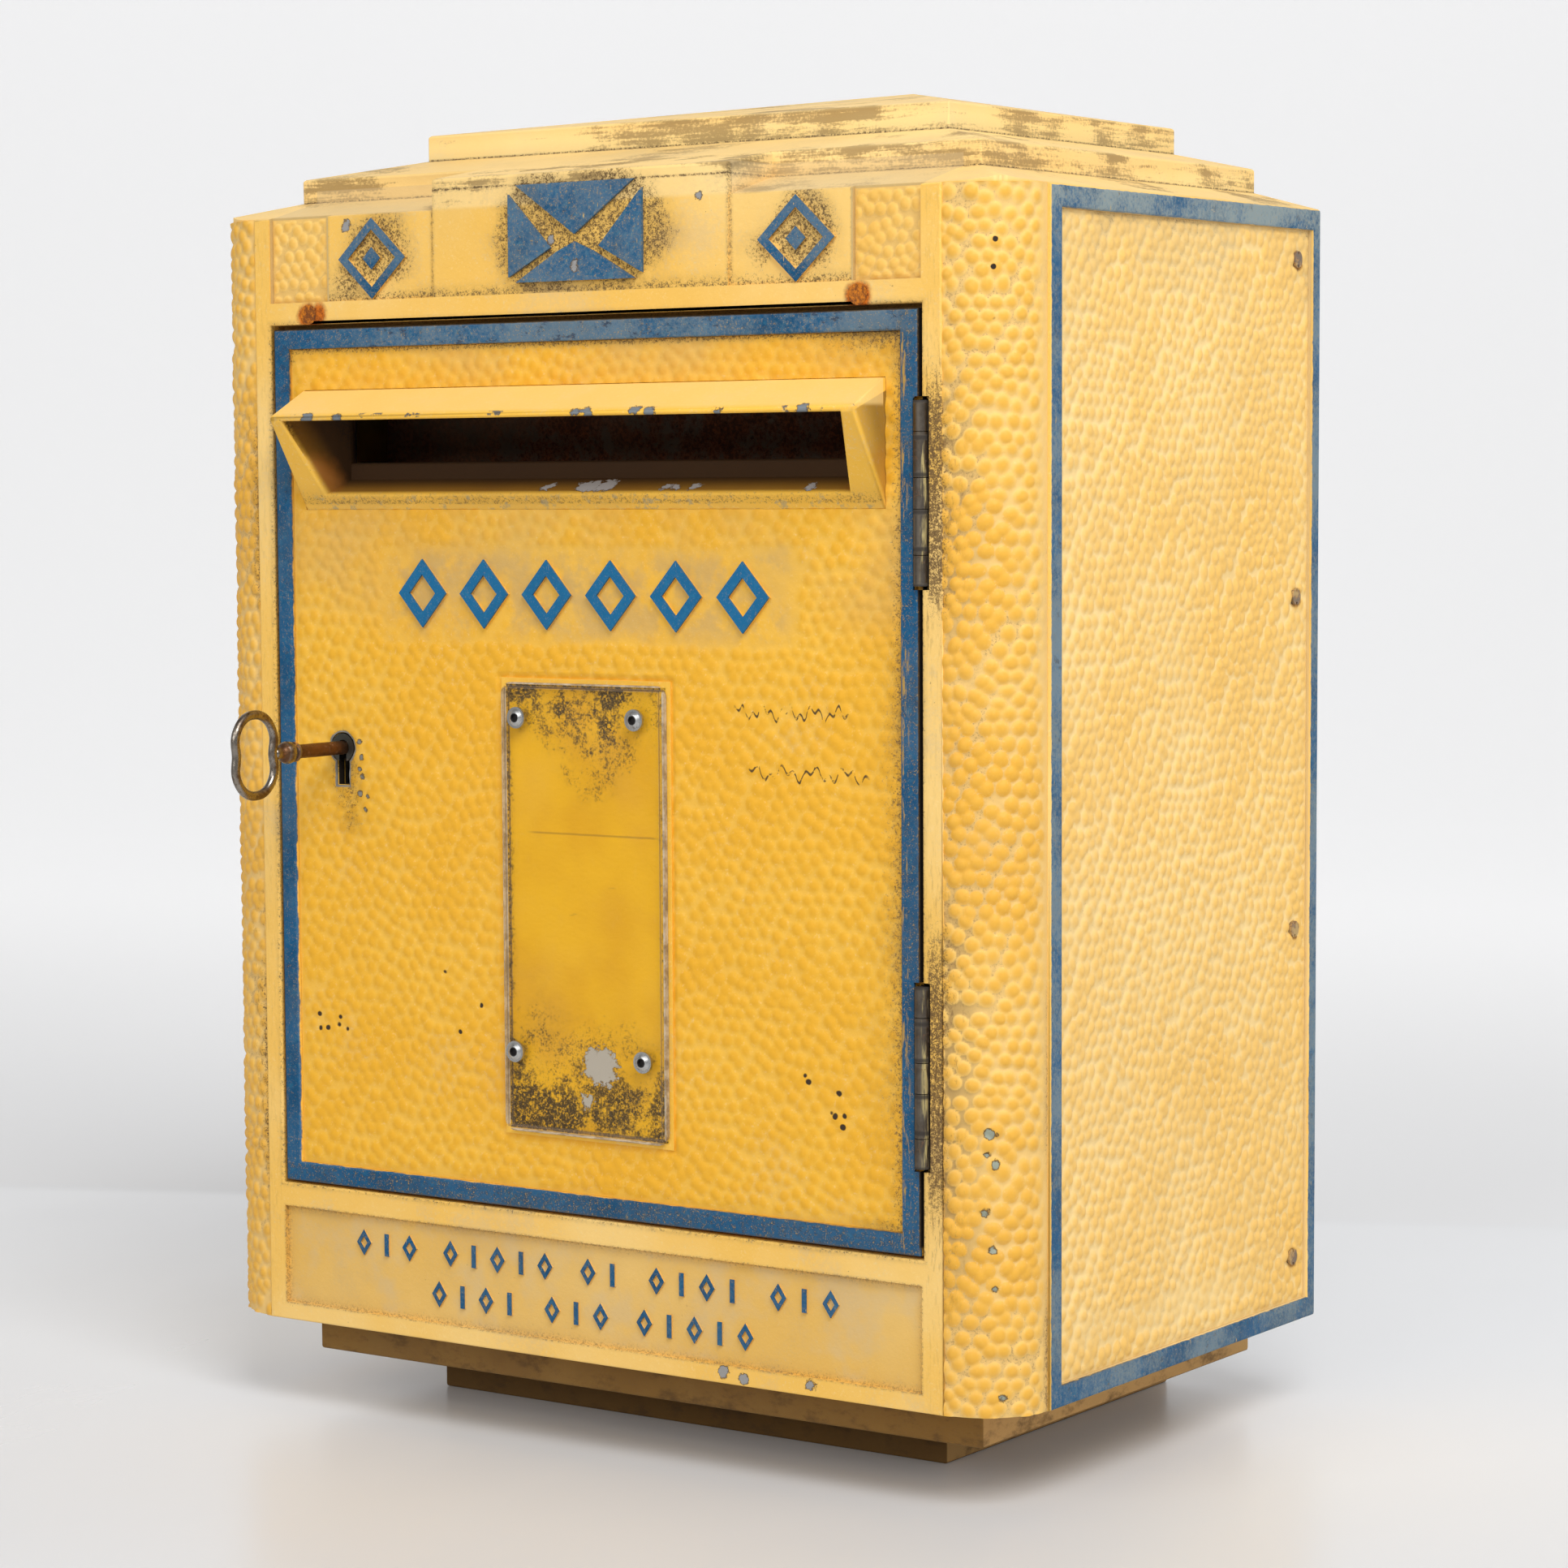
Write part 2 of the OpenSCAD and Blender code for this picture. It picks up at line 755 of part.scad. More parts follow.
module hinge_screw_set(side) {
    color(steel_grey) from_front()
        for (level = hinge_levels)
            for (p = hinge_screws)
                translate([hinge_x + side * (leaf_in + 0.05), p[0], level + p[1]])
                    rotate([0, 90 * side, 0])
                        difference() {
                            union() {
                                cylinder(r = hinge_screw_r - 0.05, h = hinge_screw_len);
                                cylinder(r1 = 2.75, r2 = hinge_screw_r - 0.05, h = 1.3);
                            }
                            translate([-0.35, -3, -over]) cube([0.7, 6, over + 0.6]);
                        }
}

module hinge_top_frame_leaf() hinge_leaf(hinge_levels[0], 1, frame_knuckles, door_knuckles, pin_r);
module hinge_top_door_leaf() hinge_leaf(hinge_levels[0], -1, door_knuckles, frame_knuckles, pin_r + 0.05);
module hinge_top_pin() hinge_pin(hinge_levels[0]);
module hinge_bottom_frame_leaf() hinge_leaf(hinge_levels[1], 1, frame_knuckles, door_knuckles, pin_r);
module hinge_bottom_door_leaf() hinge_leaf(hinge_levels[1], -1, door_knuckles, frame_knuckles, pin_r + 0.05);
module hinge_bottom_pin() hinge_pin(hinge_levels[1]);
module hinge_frame_screws() hinge_screw_set(1);
module hinge_door_screws() hinge_screw_set(-1);

// ---- lock: case, cover, rotor, bolt ----

module lock_case() {
    color(steel_grey) from_front() difference() {
        union() {
            difference() {
                translate([case_x0, case_y0, case_z0])
                    cube([case_x1 - case_x0, case_y1 - case_y0, case_z1 - case_z0]);
                translate([case_x0 + case_t, case_y0 + case_t, case_z0 + case_t])
                    cube([case_x1 - case_x0 - 2 * case_t, case_y1, case_z1 - case_z0 - 2 * case_t]);
            }
            for (p = cover_screws_at) round_along(p[0], p[1], 3, case_y0 + over, case_y1);
            // lugs on the door's bosses
            for (z = lug_z)
                translate([lug_x - 6, lug_y, min(z - 5, case_z1 - over)])
                    cube([12, case_t, abs(z - (case_z0 + case_z1) / 2) + 5 - (case_z1 - case_z0) / 2 + over]);
        }
        keyhole(keyhole_r, 5.6, 13.6, case_y0 - over, case_y0 + case_t + 0.4);
        // window for the bolt
        translate([case_x0 - over, bolt_y0 - 0.4, bolt_z0 - 0.5])
            cube([case_t + 2 * over, bolt_y1 - bolt_y0 + 0.8, bolt_z1 - bolt_z0 + 1]);
        for (p = cover_screws_at) round_along(p[0], p[1], 1.25, case_y1 - 9, case_y1 + over);
        for (z = lug_z) round_along(lug_x, z, 2.05, lug_y - over, lug_y + case_t + over);
    }
}

module lock_cover() {
    color(steel_grey) from_front() difference() {
        translate([case_x0, case_y1, case_z0]) cube([case_x1 - case_x0, case_t, case_z1 - case_z0]);
        for (p = cover_screws_at) round_along(p[0], p[1], 1.3, case_y1 - over, case_y1 + case_t + over);
    }
}

module lock_cover_screws() {
    color(zinc_grey) from_front()
        for (p = cover_screws_at) {
            round_along(p[0], p[1], 1.2, case_y1 - 6, case_y1 + case_t + 0.1);
            round_along(p[0], p[1], 2.4, case_y1 + case_t, case_y1 + case_t + 1.4);
        }
}

module lock_mount_screws() {
    color(zinc_grey) from_front()
        for (z = lug_z) {
            round_along(lug_x, z, 1.95, door_t + 1.5, lug_y + case_t + 0.1);
            round_along(lug_x, z, 3.6, lug_y + case_t, lug_y + case_t + 2.4);
        }
}

// Sleeve seen in the keyhole, drum that takes the key's bit, and crank pin.
module lock_rotor() {
    color(steel_grey) from_front() {
        difference() {
            union() {
                round_along(lock_x, lock_z, keyhole_r - 0.3, 1.4, drum_y0 + over);
                round_along(lock_x, lock_z, drum_r, drum_y0, drum_y1);
            }
            round_along(lock_x, lock_z, key_r + 0.25, 0, drum_y1 - 2);
            translate([lock_x - 1.7, 0, lock_z - drum_r - over]) cube([3.4, drum_y1 - 2, drum_r + over]);
        }
        round_along(crank_x, crank_z, 2, drum_y1 - over, bolt_y1 + 0.4);
    }
}

module lock_bolt() {
    color(steel_grey) from_front() difference() {
        translate([bolt_x0, bolt_y0, bolt_z0])
            cube([bolt_x1 - bolt_x0, bolt_y1 - bolt_y0, bolt_z1 - bolt_z0]);
        translate([crank_x - 2.35, bolt_y0 - over, bolt_z0 + 4.6])
            cube([4.7, bolt_y1 - bolt_y0 + 2 * over, 9]);
    }
}

module strike_plate() {
    x0 = -opening_half - jamb_t;
    color(steel_grey) from_front() difference() {
        translate([x0, jamb_d, strike_z[0] - 7])
            cube([jamb_t + lip_w, strike_t, strike_z[1] - strike_z[0] + 14]);
        for (z = strike_z) round_along(-opening_half, z, 1.55, jamb_d - over, jamb_d + strike_t + over);
    }
}

module strike_screws() {
    color(zinc_grey) from_front()
        for (z = strike_z) {
            round_along(-opening_half, z, 1.45, stop_y + 1, jamb_d + strike_t + 0.1);
            round_along(-opening_half, z, 2.6, jamb_d + strike_t, jamb_d + strike_t + 1);
        }
}

// ---- key ----

// Oval bow, drawn in the (y, z) plane, with a pinch where it meets the stem.
function bow_outline(w, h, pinch) = [
    for (a = [0:7.5:352.5])
        let (k = 1 - pinch * pow(max(cos(a), 0), 6))
        [w / 2 * cos(a) * k, h / 2 * sin(a)]
];

module key() {
    color(steel_grey) from_front() {
        translate([lock_x, 0, lock_z]) {
            translate([0, bow_y, 0])
                across(bow_t / 2)
                    difference() {
                        polygon(bow_outline(bow_w, bow_h, 0.12));
                        polygon(bow_outline(bow_w - 7, bow_h - 7, 0.3));
                    }
            // stem, collar and shank
            rotate([-90, 0, 0]) {
                translate([0, 0, bow_y + bow_w / 2 - 4]) cylinder(r = 2.2, h = 8);
                translate([0, 0, -30.8]) cylinder(r = 4.2, h = 2.4);
                translate([0, 0, -28.4]) cylinder(r = 3, h = 1.6);
                translate([0, 0, -26.8]) cylinder(r = 3.9, h = 2);
                translate([0, 0, -31]) cylinder(r = key_r, h = 31 + drum_y1 - 2.3);
            }
            // bit
            translate([-1.3, drum_y0 + 0.5, -bit_r]) cube([2.6, drum_y1 - drum_y0 - 2.9, bit_r]);
        }
    }
}

housing();
back_plate();
back_plate_screws();
mail_guard();
guard_screws();
guard_nuts();
door();
notice_cover();
notice_cover_screws();
notice_cover_nuts();
hinge_top_frame_leaf();
hinge_top_door_leaf();
hinge_top_pin();
hinge_bottom_frame_leaf();
hinge_bottom_door_leaf();
hinge_bottom_pin();
hinge_frame_screws();
hinge_door_screws();
lock_case();
lock_cover();
lock_cover_screws();
lock_mount_screws();
lock_rotor();
lock_bolt();
strike_plate();
strike_screws();
key();
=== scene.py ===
import math
import random

import bmesh
import bpy
from mathutils import Matrix, Vector


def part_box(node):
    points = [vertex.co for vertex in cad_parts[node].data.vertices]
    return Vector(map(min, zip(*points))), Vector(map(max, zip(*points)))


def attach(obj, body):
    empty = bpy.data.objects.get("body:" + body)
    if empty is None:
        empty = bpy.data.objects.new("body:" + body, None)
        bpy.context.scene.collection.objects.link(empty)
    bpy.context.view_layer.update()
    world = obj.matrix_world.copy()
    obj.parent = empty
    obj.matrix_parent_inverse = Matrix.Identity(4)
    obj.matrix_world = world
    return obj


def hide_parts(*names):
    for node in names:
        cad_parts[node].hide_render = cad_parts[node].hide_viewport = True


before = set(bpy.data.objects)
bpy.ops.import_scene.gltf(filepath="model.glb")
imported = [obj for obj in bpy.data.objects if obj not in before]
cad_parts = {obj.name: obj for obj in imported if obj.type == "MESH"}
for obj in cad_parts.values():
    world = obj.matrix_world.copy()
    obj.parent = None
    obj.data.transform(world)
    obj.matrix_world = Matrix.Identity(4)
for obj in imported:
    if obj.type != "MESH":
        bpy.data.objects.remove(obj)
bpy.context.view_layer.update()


# ---- Room: pale floor that curves up into a wall, soft lamps, camera ----
# Not part of the object. The floor carries a faint sheen, as a lacquered table top does, and the
# lamps are large soft boxes: one high at the front right, one low at the right, one in front.

MM = 0.001


class Val:
    """A value in a node tree. Sums on it become Math nodes."""

    def __init__(self, works, socket):
        self.works, self.socket = works, socket

    def math(self, operation, *others):
        return self.works.add("ShaderNodeMath", {"operation": operation},
                              dict(enumerate((self, *others))))

    def __add__(self, other):
        return self.math("ADD", other)

    def __sub__(self, other):
        return self.math("SUBTRACT", other)

    def __mul__(self, other):
        return self.math("MULTIPLY", other)

    def __truediv__(self, other):
        return self.math("DIVIDE", other)

    def __rsub__(self, other):
        return self.works.add("ShaderNodeMath", {"operation": "SUBTRACT"}, {0: other, 1: self})

    def __neg__(self):
        return self.math("MULTIPLY", -1.0)

    def __abs__(self):
        return self.math("ABSOLUTE")

    def low(self, other):
        return self.math("MINIMUM", other)

    def high(self, other):
        return self.math("MAXIMUM", other)

    __radd__ = __add__
    __rmul__ = __mul__


class Works:
    """A node tree under construction."""

    def __init__(self, tree):
        self.tree = tree

    def add(self, kind, settings=None, sockets=None, out=0):
        """Adds a node, with its settings and then its sockets' values or links."""
        node = self.tree.nodes.new(kind)
        for name, value in (settings or {}).items():
            setattr(node, name, value)
        for key, value in (sockets or {}).items():
            if isinstance(value, Val):
                self.tree.links.new(value.socket, node.inputs[key])
            else:
                node.inputs[key].default_value = value
        return node if out is None else Val(self, node.outputs[out])

    def vector(self, operation, first, second):
        return self.add("ShaderNodeVectorMath", {"operation": operation}, {0: first, 1: second})

    def axes(self, vector):
        return [Val(self, s) for s in self.add("ShaderNodeSeparateXYZ", {}, {0: vector},
                                               out=None).outputs]

    def between(self, value, low, high):
        """0 at low, 1 at high, eased at both ends; low may be the larger one."""
        sockets = {"Value": value, "From Min": low, "From Max": high}
        return self.add("ShaderNodeMapRange", {"interpolation_type": "SMOOTHSTEP"}, sockets)


def paint(red, green, blue):
    """A colour as a paint chart gives it, 0 to 255, turned into light."""
    parts = [v / 255 for v in (red, green, blue)]
    return tuple(v / 12.92 if v <= 0.04045 else ((v + 0.055) / 1.055) ** 2.4 for v in parts) + (1.0,)


class Finish(Works):
    """One material, built up in coats from the bare surface outwards."""

    def __init__(self, name, colour, rough, metallic=0.0):
        self.material = bpy.data.materials.new(name)
        self.material.use_nodes = True
        super().__init__(self.material.node_tree)
        self.tree.nodes.clear()
        place = self.add("ShaderNodeTexCoord", out="Object")
        self.at = self.vector("MULTIPLY", place, (1000, 1000, 1000))
        self.x, self.y, self.z = self.axes(self.at)
        self.colour, self.rough, self.metallic, self.height = colour, rough, metallic, 0.0

    def noise(self, size, detail=3.0, rough=0.55, seed=0, stretch=(1, 1, 1)):
        """Cloudy pattern from 0 to 1 whose features are about size millimetres across."""
        scale = [s / size for s in stretch]
        at = self.add("ShaderNodeVectorMath", {"operation": "MULTIPLY_ADD"},
                      {0: self.at, 1: scale, 2: (seed * 7.3, seed * 3.1, seed * 5.7)})
        sockets = {"Vector": at, "Scale": 1.0, "Detail": detail, "Roughness": rough}
        return self.add("ShaderNodeTexNoise", {}, sockets)

    def cloud(self, low, high, *size_and_grain, **more):
        """A mask of cloudy patches: its noise, 0 where that is low and 1 where it is high."""
        return self.between(self.noise(*size_and_grain, **more), low, high)

    def mix(self, mask, under, over):
        return self.add("ShaderNodeMix", {"data_type": "RGBA"}, {0: mask, 6: under, 7: over}, out=2)

    @staticmethod
    def strewn(count, seed, across, up, depth, sizes):
        """Places for count small marks: x and z fall anywhere in across and up, the radius in sizes."""
        draw = random.Random(seed)
        return [(draw.uniform(*across), FRONT + depth, draw.uniform(*up), draw.uniform(*sizes))
                for _ in range(count)]

    @staticmethod
    def rectangle(u, v, u0, u1, v0, v1):
        """Distance in millimetres inside a rectangle, negative outside."""
        return (u - u0).low(u1 - u).low((v - v0).low(v1 - v))

    def spots(self, places, ragged):
        """Distance in millimetres inside round spots (x, y, z, radius) with ragged rims."""
        nearest = None
        for *centre, radius in places:
            inside = radius - self.add("ShaderNodeVectorMath", {"operation": "DISTANCE"},
                                       {0: self.at, 1: centre}, out="Value")
            nearest = inside if nearest is None else nearest.high(inside)
        return nearest + ragged

    def patches(self, grainy, low, high):
        """A mask of wide patches whose rims are broken up by the grain."""
        return self.between(self.patch + (self.grain - 0.5) * grainy, low, high)

    def coat(self, mask, colour=None, rough=None, lift=0.0, metallic=None):
        """Lays one coat where mask is 1: its colour, its roughness and its thickness."""
        if colour is not None:
            self.colour = self.mix(mask, self.colour, colour)
        if rough is not None:
            self.rough = self.rough + mask * (rough - self.rough)
        if metallic is not None:
            self.metallic = self.metallic + mask * (metallic - self.metallic)
        if lift:
            self.height = self.height + mask * lift

    def done(self, **constants):
        sockets = {"Base Color": self.colour, "Roughness": self.rough, "Metallic": self.metallic}
        if isinstance(self.height, Val):
            sockets["Normal"] = self.add("ShaderNodeBump", {}, {
                "Strength": 1.0, "Distance": MM, "Height": self.height})
        sockets.update({name.replace("_", " "): value for name, value in constants.items()})
        surface = self.add("ShaderNodeBsdfPrincipled", {}, sockets)
        self.add("ShaderNodeOutputMaterial", {}, {"Surface": surface}, out=None)
        return self.material


def finished(obj, material):
    obj.data.materials.clear()
    obj.data.materials.append(material)
    return obj


def placed(name, data):
    """A new object in the scene, holding a mesh, a lamp or a camera."""
    obj = bpy.data.objects.new(name, data)
    bpy.context.scene.collection.objects.link(obj)
    return obj


def as_mesh(name, bm):
    mesh = bpy.data.meshes.new(name)
    bm.to_mesh(mesh)
    bm.free()
    return mesh


LOOK_ACROSS, LOOK_AHEAD = -0.4226, 0.9063   # the way the wall faces, 25 degrees to the left of +Y
WALL_AT = 370.0                             # where the floor turns into the backdrop


def pale_floor():
    """Off-white table top that passes into a brighter backdrop behind the object. The brightening towards the
    back is painted light, and the whole room glows a little, the backdrop most.
    """
    c = Finish("pale_floor", paint(210, 211, 213), 0.42)
    smear = c.noise(160, 4.0, 0.6, stretch=(1, 0.4, 1))
    c.rough = 0.20 + smear * 0.20
    past = c.x * LOOK_ACROSS + c.y * LOOK_AHEAD - WALL_AT
    # painted light: the floor is painted lighter towards the back, and paler again where it turns up into the
    # backdrop
    c.coat(c.between(past, -720, -80), paint(232, 233, 235))
    c.coat(c.between(past, -6, 26), paint(236, 236, 237), 0.8)
    # painted light: the room glows, faintly all over and more towards the back
    glow = c.between(past, -200, 1500) * 0.31 + 0.04
    lit = c.mix(glow, (0, 0, 0, 1), (1, 1, 1, 1))
    return c.done(Emission_Color=lit, Emission_Strength=1.0)


def make_room():
    half, back, rise, turn, steps = 9.0, 3.6, 5.0, 1.2, 24
    profile = [(-8.0, 0.0), (back - turn, 0.0)]
    for i in range(1, steps + 1):
        a = math.pi / 2 * i / steps
        profile.append((back - turn + turn * math.sin(a), turn - turn * math.cos(a)))
    profile.append((back, rise))
    bm = bmesh.new()
    rows = [[bm.verts.new((x, y, z)) for y, z in profile] for x in (-half, half)]
    for i in range(len(profile) - 1):
        bm.faces.new((rows[0][i], rows[1][i], rows[1][i + 1], rows[0][i + 1])).smooth = True
    mesh = as_mesh("room", bm)
    mesh.transform(Matrix.Rotation(math.radians(36), 4, "Z"))
    finished(placed("room", mesh), pale_floor())


def soft_lamp(name, place, aim, width, height, power):
    light = bpy.data.lights.new(name, "AREA")
    light.shape, light.size, light.size_y = "RECTANGLE", width, height
    light.energy = power
    lamp = placed(name, light)
    lamp.location = place
    lamp.rotation_euler = (Vector(aim) - Vector(place)).to_track_quat("-Z", "Y").to_euler()


make_room()
soft_lamp("key_box", (1.30, -1.05, 1.9), (0, 0, 0.25), 1.2, 1.2, 39.5)
soft_lamp("side_box", (2.2, 0.9, 0.9), (0.15, 0.05, 0.1), 1.5, 1.3, 11)
soft_lamp("front_box", (-0.1, -2.4, 1.3), (0, 0, 0.22), 2.2, 1.2, 22)

world = bpy.data.worlds.new("room_light")
world.use_nodes = True
world.node_tree.nodes.clear()
sky = Works(world.node_tree)
seen = sky.add("ShaderNodeLightPath", out="Is Camera Ray")
room_light = sky.add("ShaderNodeBackground", {}, {"Color": (1, 1, 1, 1), "Strength": 0.29})
beyond = sky.add("ShaderNodeBackground", {}, {"Strength": 0.86})   # the wall's colour past its edges
either = sky.add("ShaderNodeMixShader", {}, {0: seen, 1: room_light, 2: beyond})
sky.add("ShaderNodeOutputWorld", {}, {"Surface": either}, out=None)
bpy.context.scene.world = world
bpy.context.scene.view_settings.view_transform = "Standard"

lens = bpy.data.cameras.new("camera")
lens.lens, lens.sensor_width = 95.1, 36.0
lens.shift_x, lens.shift_y = 0.0895, 0.0296
camera = placed("camera", lens)
camera.location = (0.8712, -1.3002, 0.3490)
ahead = Vector((-0.58622, 0.80554, -0.08632))
camera.rotation_euler = (ahead.to_track_quat("-Z", "Y").to_matrix() @ Matrix.Rotation(
    math.radians(-0.47), 3, "Z")).to_euler()
bpy.context.scene.camera = camera


# ---- Housing: one heavy casting, painted yellow with blue trim ----
# Cast aluminium: corner columns, stepped roof and base, header and notice field. The paint is
# brushed on, thin at the edges, and dirt has settled in streaks on the roof and in every corner.
# Painted light pales the roof and the base's end faces; painted shade darkens the base's foot.

def box_in_mm(node):
    return [Vector(corner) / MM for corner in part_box(node)]


low, high = box_in_mm("housing")
FRONT = low.y + 1.4              # the front face; the header relief stands 1.4 proud of it
BODY_HALF = high.x
BODY_LOW, BODY_HIGH = 33.3, 442.0
# rectangles on the front: left, right, bottom, top
HEADER = (-141, 141, 411.5, 454)
DOORWAY = (-141, 141, 85.3, 403.4)
NOTICE_FIELD = (-140.5, 140.5, 39.8, 76.5)
# rectangles on a side, measured back from the front: front, back, bottom, top
SIDE_PANEL = (34.4, 214.3, 40.8, 434.5)
SIDE_FRAME = (26.7, 426.4, BODY_LOW + 0.2, BODY_HIGH - 0.2)
CORNER_FIELD = (114, 141, 411.5, 442)
ROOF_STEPS = ((449.6, 458.4), (465.2, 474.8))   # bottom and top of the roof's two upright faces
ROOF_FEET = (449.4, 465.3)
GUARD_SCREWS = ((-122.5, 406.4, 5.2), (116.5, 406.4, 5.4))   # x, z and how far their rust has spread
HINGE_LEVELS = (341.1, 146.9)

YELLOW = paint(240, 190, 90)
CREAM = paint(244, 204, 124)
BLUE = paint(0, 80, 122)
BLUE_WORN = paint(44, 110, 138)
GREY_METAL = paint(150, 148, 146)
DUST = paint(206, 182, 140)
SOOT = paint(62, 50, 38)


class Coats(Finish):
    """The yellow brush paint that housing and door share, with its dirt and wear."""

    def __init__(self, name, pale, deep, dirt=1.0):
        super().__init__(name, pale, 0.52)
        self.colour = self.mix(self.cloud(0.35, 0.7, 70, 3.0, seed=1), pale, deep)
        self.rough = 0.46 + self.noise(14, 3.0, seed=2) * 0.2
        self.height = self.noise(1.6, 4.0, 0.6, seed=3) * 0.12 + self.noise(11, 2.0, seed=4) * 0.25
        self.grain = self.noise(1.25, 5.0, 0.72, seed=5)
        self.fine = self.noise(0.62, 3.0, 0.8, seed=9)
        self.patch = self.noise(34, 4.0, 0.6, seed=6)
        self.ragged = (self.noise(5.0, 4.0, 0.6, seed=7) - 0.5) * 2.0
        self.coat(self.between(self.grain, 0.46, 0.30) * 0.30, deep, 0.5)
        self.coat(self.between(self.grain, 0.54, 0.70) * 0.34, paint(250, 222, 160), 0.6)
        self.coat(self.patches(0.5, 0.52, 0.74) * (0.38 * dirt), DUST, 0.66)
        fly_specks = self.cloud(0.74, 0.79, 1.5, 2.0, 0.5, seed=8)
        self.coat(fly_specks * self.between(self.patch, 0.42, 0.6) * 0.6 * dirt, SOOT, 0.7)

    def grime_and_shade(self, mask, colour=SOOT, strength=1.0, coverage=0.5):
        """Dirt that rubs off the edges, and in grooves and hollows also painted shade: a soft wash, then fine
        specks, dense where mask is 1.
        """
        self.coat(mask * mask * (0.25 + 0.75 * self.patches(0.8, 0.30, 0.66)) * (strength * 0.42), colour,
                  0.72)
        base = 0.60 - coverage * 0.16
        speck = self.between(self.fine * 0.5 + self.grain * 0.5 + (mask - 1.0) * 0.24, base, base + 0.08)
        self.coat(speck * mask * strength, colour, 0.78)

    def blue_trim(self, inside, worn=0.35, dust=0.0, dirt=0.0):
        """Blue paint where inside is above 0, with a hand-painted edge, scuffs, dust and dirt."""
        edge = self.between(inside + self.ragged * 0.40, -0.10, 0.16)
        scuffs = self.cloud(0.50, 0.7, 2.6, 5.0, 0.75, seed=11)
        clouds = self.cloud(0.4, 0.68, 18, 3.0, seed=12)
        tone = self.mix(clouds * 0.6, BLUE, paint(0, 60, 94))
        tone = self.mix(scuffs * worn, tone, BLUE_WORN)
        self.coat(edge, tone, 0.42, 0.10)
        self.coat(edge * self.patches(0.7, 0.30, 0.62) * dust, paint(142, 154, 152), 0.7)
        scratches = self.cloud(0.66, 0.74, 1.1, 4.0, 0.6, seed=13, stretch=(1, 1, 0.2))
        self.coat(edge * scratches * (worn * 1.5), paint(206, 172, 104), 0.6, -0.08)
        soot = self.between(self.noise(5, 5.0, 0.75, seed=14) + (self.grain - 0.5) * 0.4, 0.58, 0.72)
        self.coat(edge * soot * 0.55, paint(26, 38, 58), 0.6)
        self.coat(edge * self.between(self.grain + dirt - 0.5, 0.42, 0.66) * dirt, paint(40, 40, 40),
                  0.75)
        self.coat(edge * self.between(self.fine * 0.6 + self.grain * 0.4, 0.54, 0.62) * (0.4 + dirt),
                  paint(172, 142, 88), 0.65)

    def done(self, **constants):
        return super().done(Specular_IOR_Level=0.28, **constants)

    def chips(self, places, ragged=1.0, metal=GREY_METAL):
        """Bare metal spots with a dark broken rim."""
        flaky = self.noise(3.0, 5.0, 0.78, seed=10) - 0.5
        inside = self.spots(places, self.ragged * (ragged * 0.6) + flaky * (ragged * 6.0))
        self.coat(self.between(inside, -0.4, 0.05), paint(112, 84, 48), 0.7, -0.10)
        self.coat(self.between(inside, 0.0, 0.3), metal, 0.5, -0.16)


